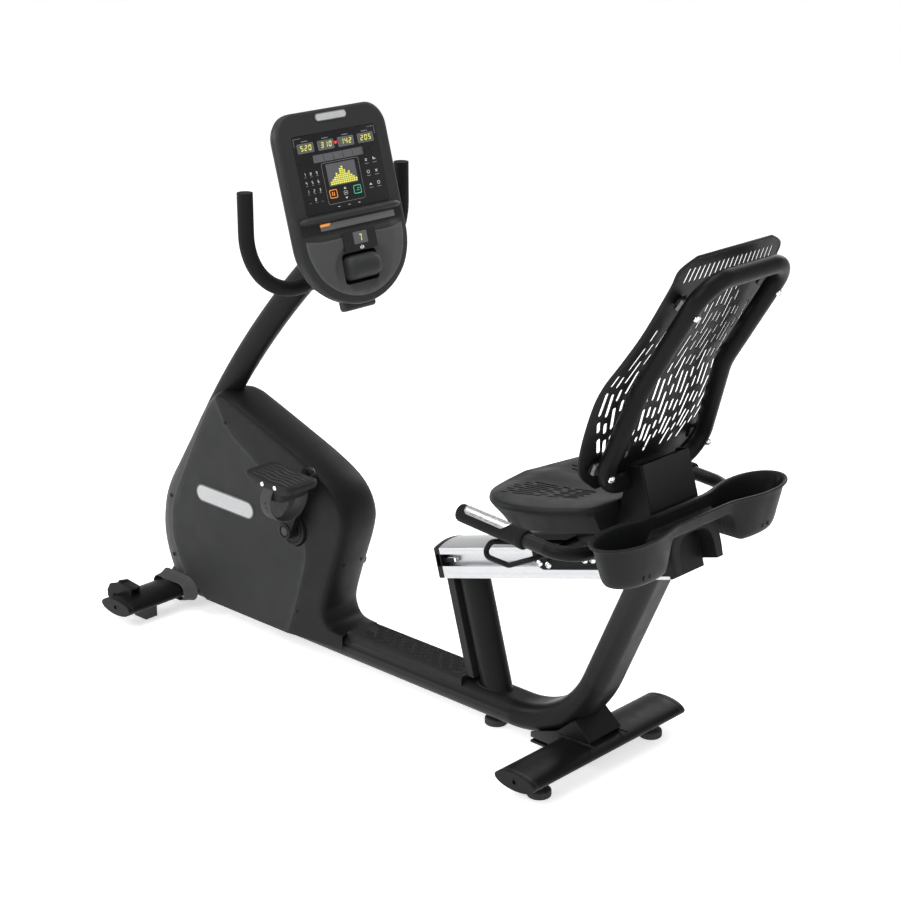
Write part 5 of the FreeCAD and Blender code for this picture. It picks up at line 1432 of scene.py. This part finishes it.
FINISHES = (
    ("frame", "frame_paint", 0.0, "base_frame front_post mast handlebar front_stabiliser "
     "rear_stabiliser back_frame side_handles release_lever"),
    ("frame", "frame_paint", 0.0015, "rear_saddle"),
    ("frame", "frame_paint", 0.001, "wheel_brackets back_bracket carriage"),
    ("rubber", "rubber", 0.0, "lock_shoe drive_belt"),
    ("frame", "iron", 0.0015, "left_crank_arm right_crank_arm"),
    ("cover", "dark_plastic", 0.0, "post_cover"),
    ("cover", "dark_plastic", 0.001, "step_deck"),
    ("black", "dark_plastic", 0.003, "stabiliser_end_caps"),
    ("rubber", "rubber", 0.002, "front_pads"),
    ("black", "dark_plastic", 0.002, "left_wheel right_wheel"),
    ("rubber", "rubber", 0.001, "rear_left_foot rear_right_foot centre_foot"),
    ("rail", "rail_metal", 0.0005, "seat_rail"),
    ("black", "dark_plastic", 0.001, "rail_end_caps back_clips"),
    ("boot", "boot_plastic", 0.002, "boot_collars"),
    ("black", "steel", 0.0005, "shroud_screws"),
    ("badge", "badge", 0.0008, "badges"),
    ("console", "dark_plastic", 0.003, "console_rear_shell"),
    ("console", "grey_plastic", 0.001, "console_front_shell"),
    ("membrane", "screen", 0.0003, "display_overlay"),
    ("glass_grey", "lcd", 0.0002, "display_windows"),
    ("foam", "foam", 0.003, "handlebar_grips handle_grips"),
    ("steel", "steel", 0.0005, "crank_bearings"),
    ("frame", "frame_paint", 0.0005, "drive_plates"),
    ("copper", "copper", 0.0005, "generator_stator"),
    ("iron", "steel", 0.0005, "crank_axle"),
    ("black", "dark_plastic", 0.0005, "crank_pulley"),
    ("iron", "iron", 0.001, "generator_rotor"),
    ("pedal", "dark_plastic", 0.003, "left_pedal right_pedal"),
    ("rubber", "rubber", 0.0005, "left_pedal_strap right_pedal_strap"),
    ("chrome", "chrome", 0.0005, "seat_bolts"),
    ("seat", "dark_plastic", 0.003, "seat_pan"),
    ("seat", "dark_plastic", 0.001, "back_shell cup_holder"),
    ("cover", "dark_plastic", 0.002, "carriage_rear_cover"),
    ("pulse", "chrome", 0.0003, "pulse_plates"),
    ("black", "rubber", 0.001, "front_rollers rear_rollers"),
    ("console_low", "dark_plastic", 0.003, "resistance_paddle"),
)


# ---- floor, light and camera -------------------------------------
FLOOR_GLOW = 0.66
SKY = (1.05, 0.46)     # strength at the horizon and overhead
CAMERA = (-2.902, 2.98, 2.0)
CAMERA_AIM = (0.648, -0.688, -0.326)


def make_stage():
    mesh = bpy.data.meshes.new("floor")
    mesh.from_pydata([(-30, -30, 0), (30, -30, 0), (30, 30, 0), (-30, 30, 0)], [],
                     [(0, 1, 2, 3)])
    floor = bpy.data.objects.new("floor", mesh)
    bpy.context.scene.collection.objects.link(floor)
    s = Surface("pale_floor")
    cloud = s.noise(1.3)
    base = s.blend(cloud, 0.3, 0.7, 1.0, (0.86, 0.86, 0.86), (0.88, 0.88, 0.88))
    s.put(s.inputs["Emission Color"], base)
    s.put(s.inputs["Emission Strength"], FLOOR_GLOW)
    mesh.materials.append(s.finish(base, s.ramp(cloud, 0.3, 0.7, 0.7, 0.85),
                                   ((s.noise(300.0, 2.0), 0.04, 0.0005),), 0.1))

    world = bpy.data.worlds.new("studio")
    world.use_nodes = True
    background = world.node_tree.nodes["Background"].inputs
    sky = Nodes(world.node_tree)
    height = sky.add("SeparateXYZ", "Z", Vector=sky.coords["Generated"])
    sky.put(background["Color"], (1.0, 1.0, 1.0, 1.0))
    sky.put(background["Strength"], sky.ramp(height, 0.05, 0.3, *SKY))
    bpy.context.scene.world = world

    lamps = (("key", (-0.6, 3.4, 3.2), 66.0, 2.2), ("fill", (-3.8, 0.2, 2.4), 24.0, 2.6),
             ("over", (0.3, 0.2, 3.8), 70.0, 2.6), ("rim", (3.0, 2.0, 1.8), 45.0, 1.4),
             ("back", (0.6, -3.4, 2.4), 45.0, 2.4))
    for name, place, power, size in lamps:
        data = bpy.data.lights.new(name, "AREA")
        data.energy = power
        data.shape = "DISK"
        data.size = size
        lamp = bpy.data.objects.new(name, data)
        lamp.location = place
        aim = Vector((0.0, 0.0, 0.5)) - Vector(place)
        lamp.rotation_euler = aim.to_track_quat("-Z", "Y").to_euler()
        bpy.context.scene.collection.objects.link(lamp)

    data = bpy.data.cameras.new("camera")
    data.lens = 82.4
    data.sensor_width = 36.0
    data.clip_end = 60.0
    camera = bpy.data.objects.new("camera", data)
    camera.location = CAMERA
    camera.rotation_euler = Vector(CAMERA_AIM).to_track_quat("-Z", "Y").to_euler()
    bpy.context.scene.collection.objects.link(camera)
    bpy.context.scene.camera = camera
    bpy.context.scene.view_settings.view_transform = "Standard"


for finish, place, width, names in FINISHES:
    for node in names.split():
        dress(node, finish, width)
make_shroud()
make_console()
make_screen()
make_seat_pan()
make_back_shell()
make_cup_holder()
make_grips()
make_pedals()
# the side badge takes the darker silver copy: painted shade
make_badge("shroud_badge", side_badge, 202, 43, 2.5, "badge_side")
make_console_back()
make_boots()
make_arch_cover()
make_crank_details()
make_deck_ribs()
make_pan_inner()
make_fasteners()
make_welds()
make_rail_details()
make_feet()
make_stage()
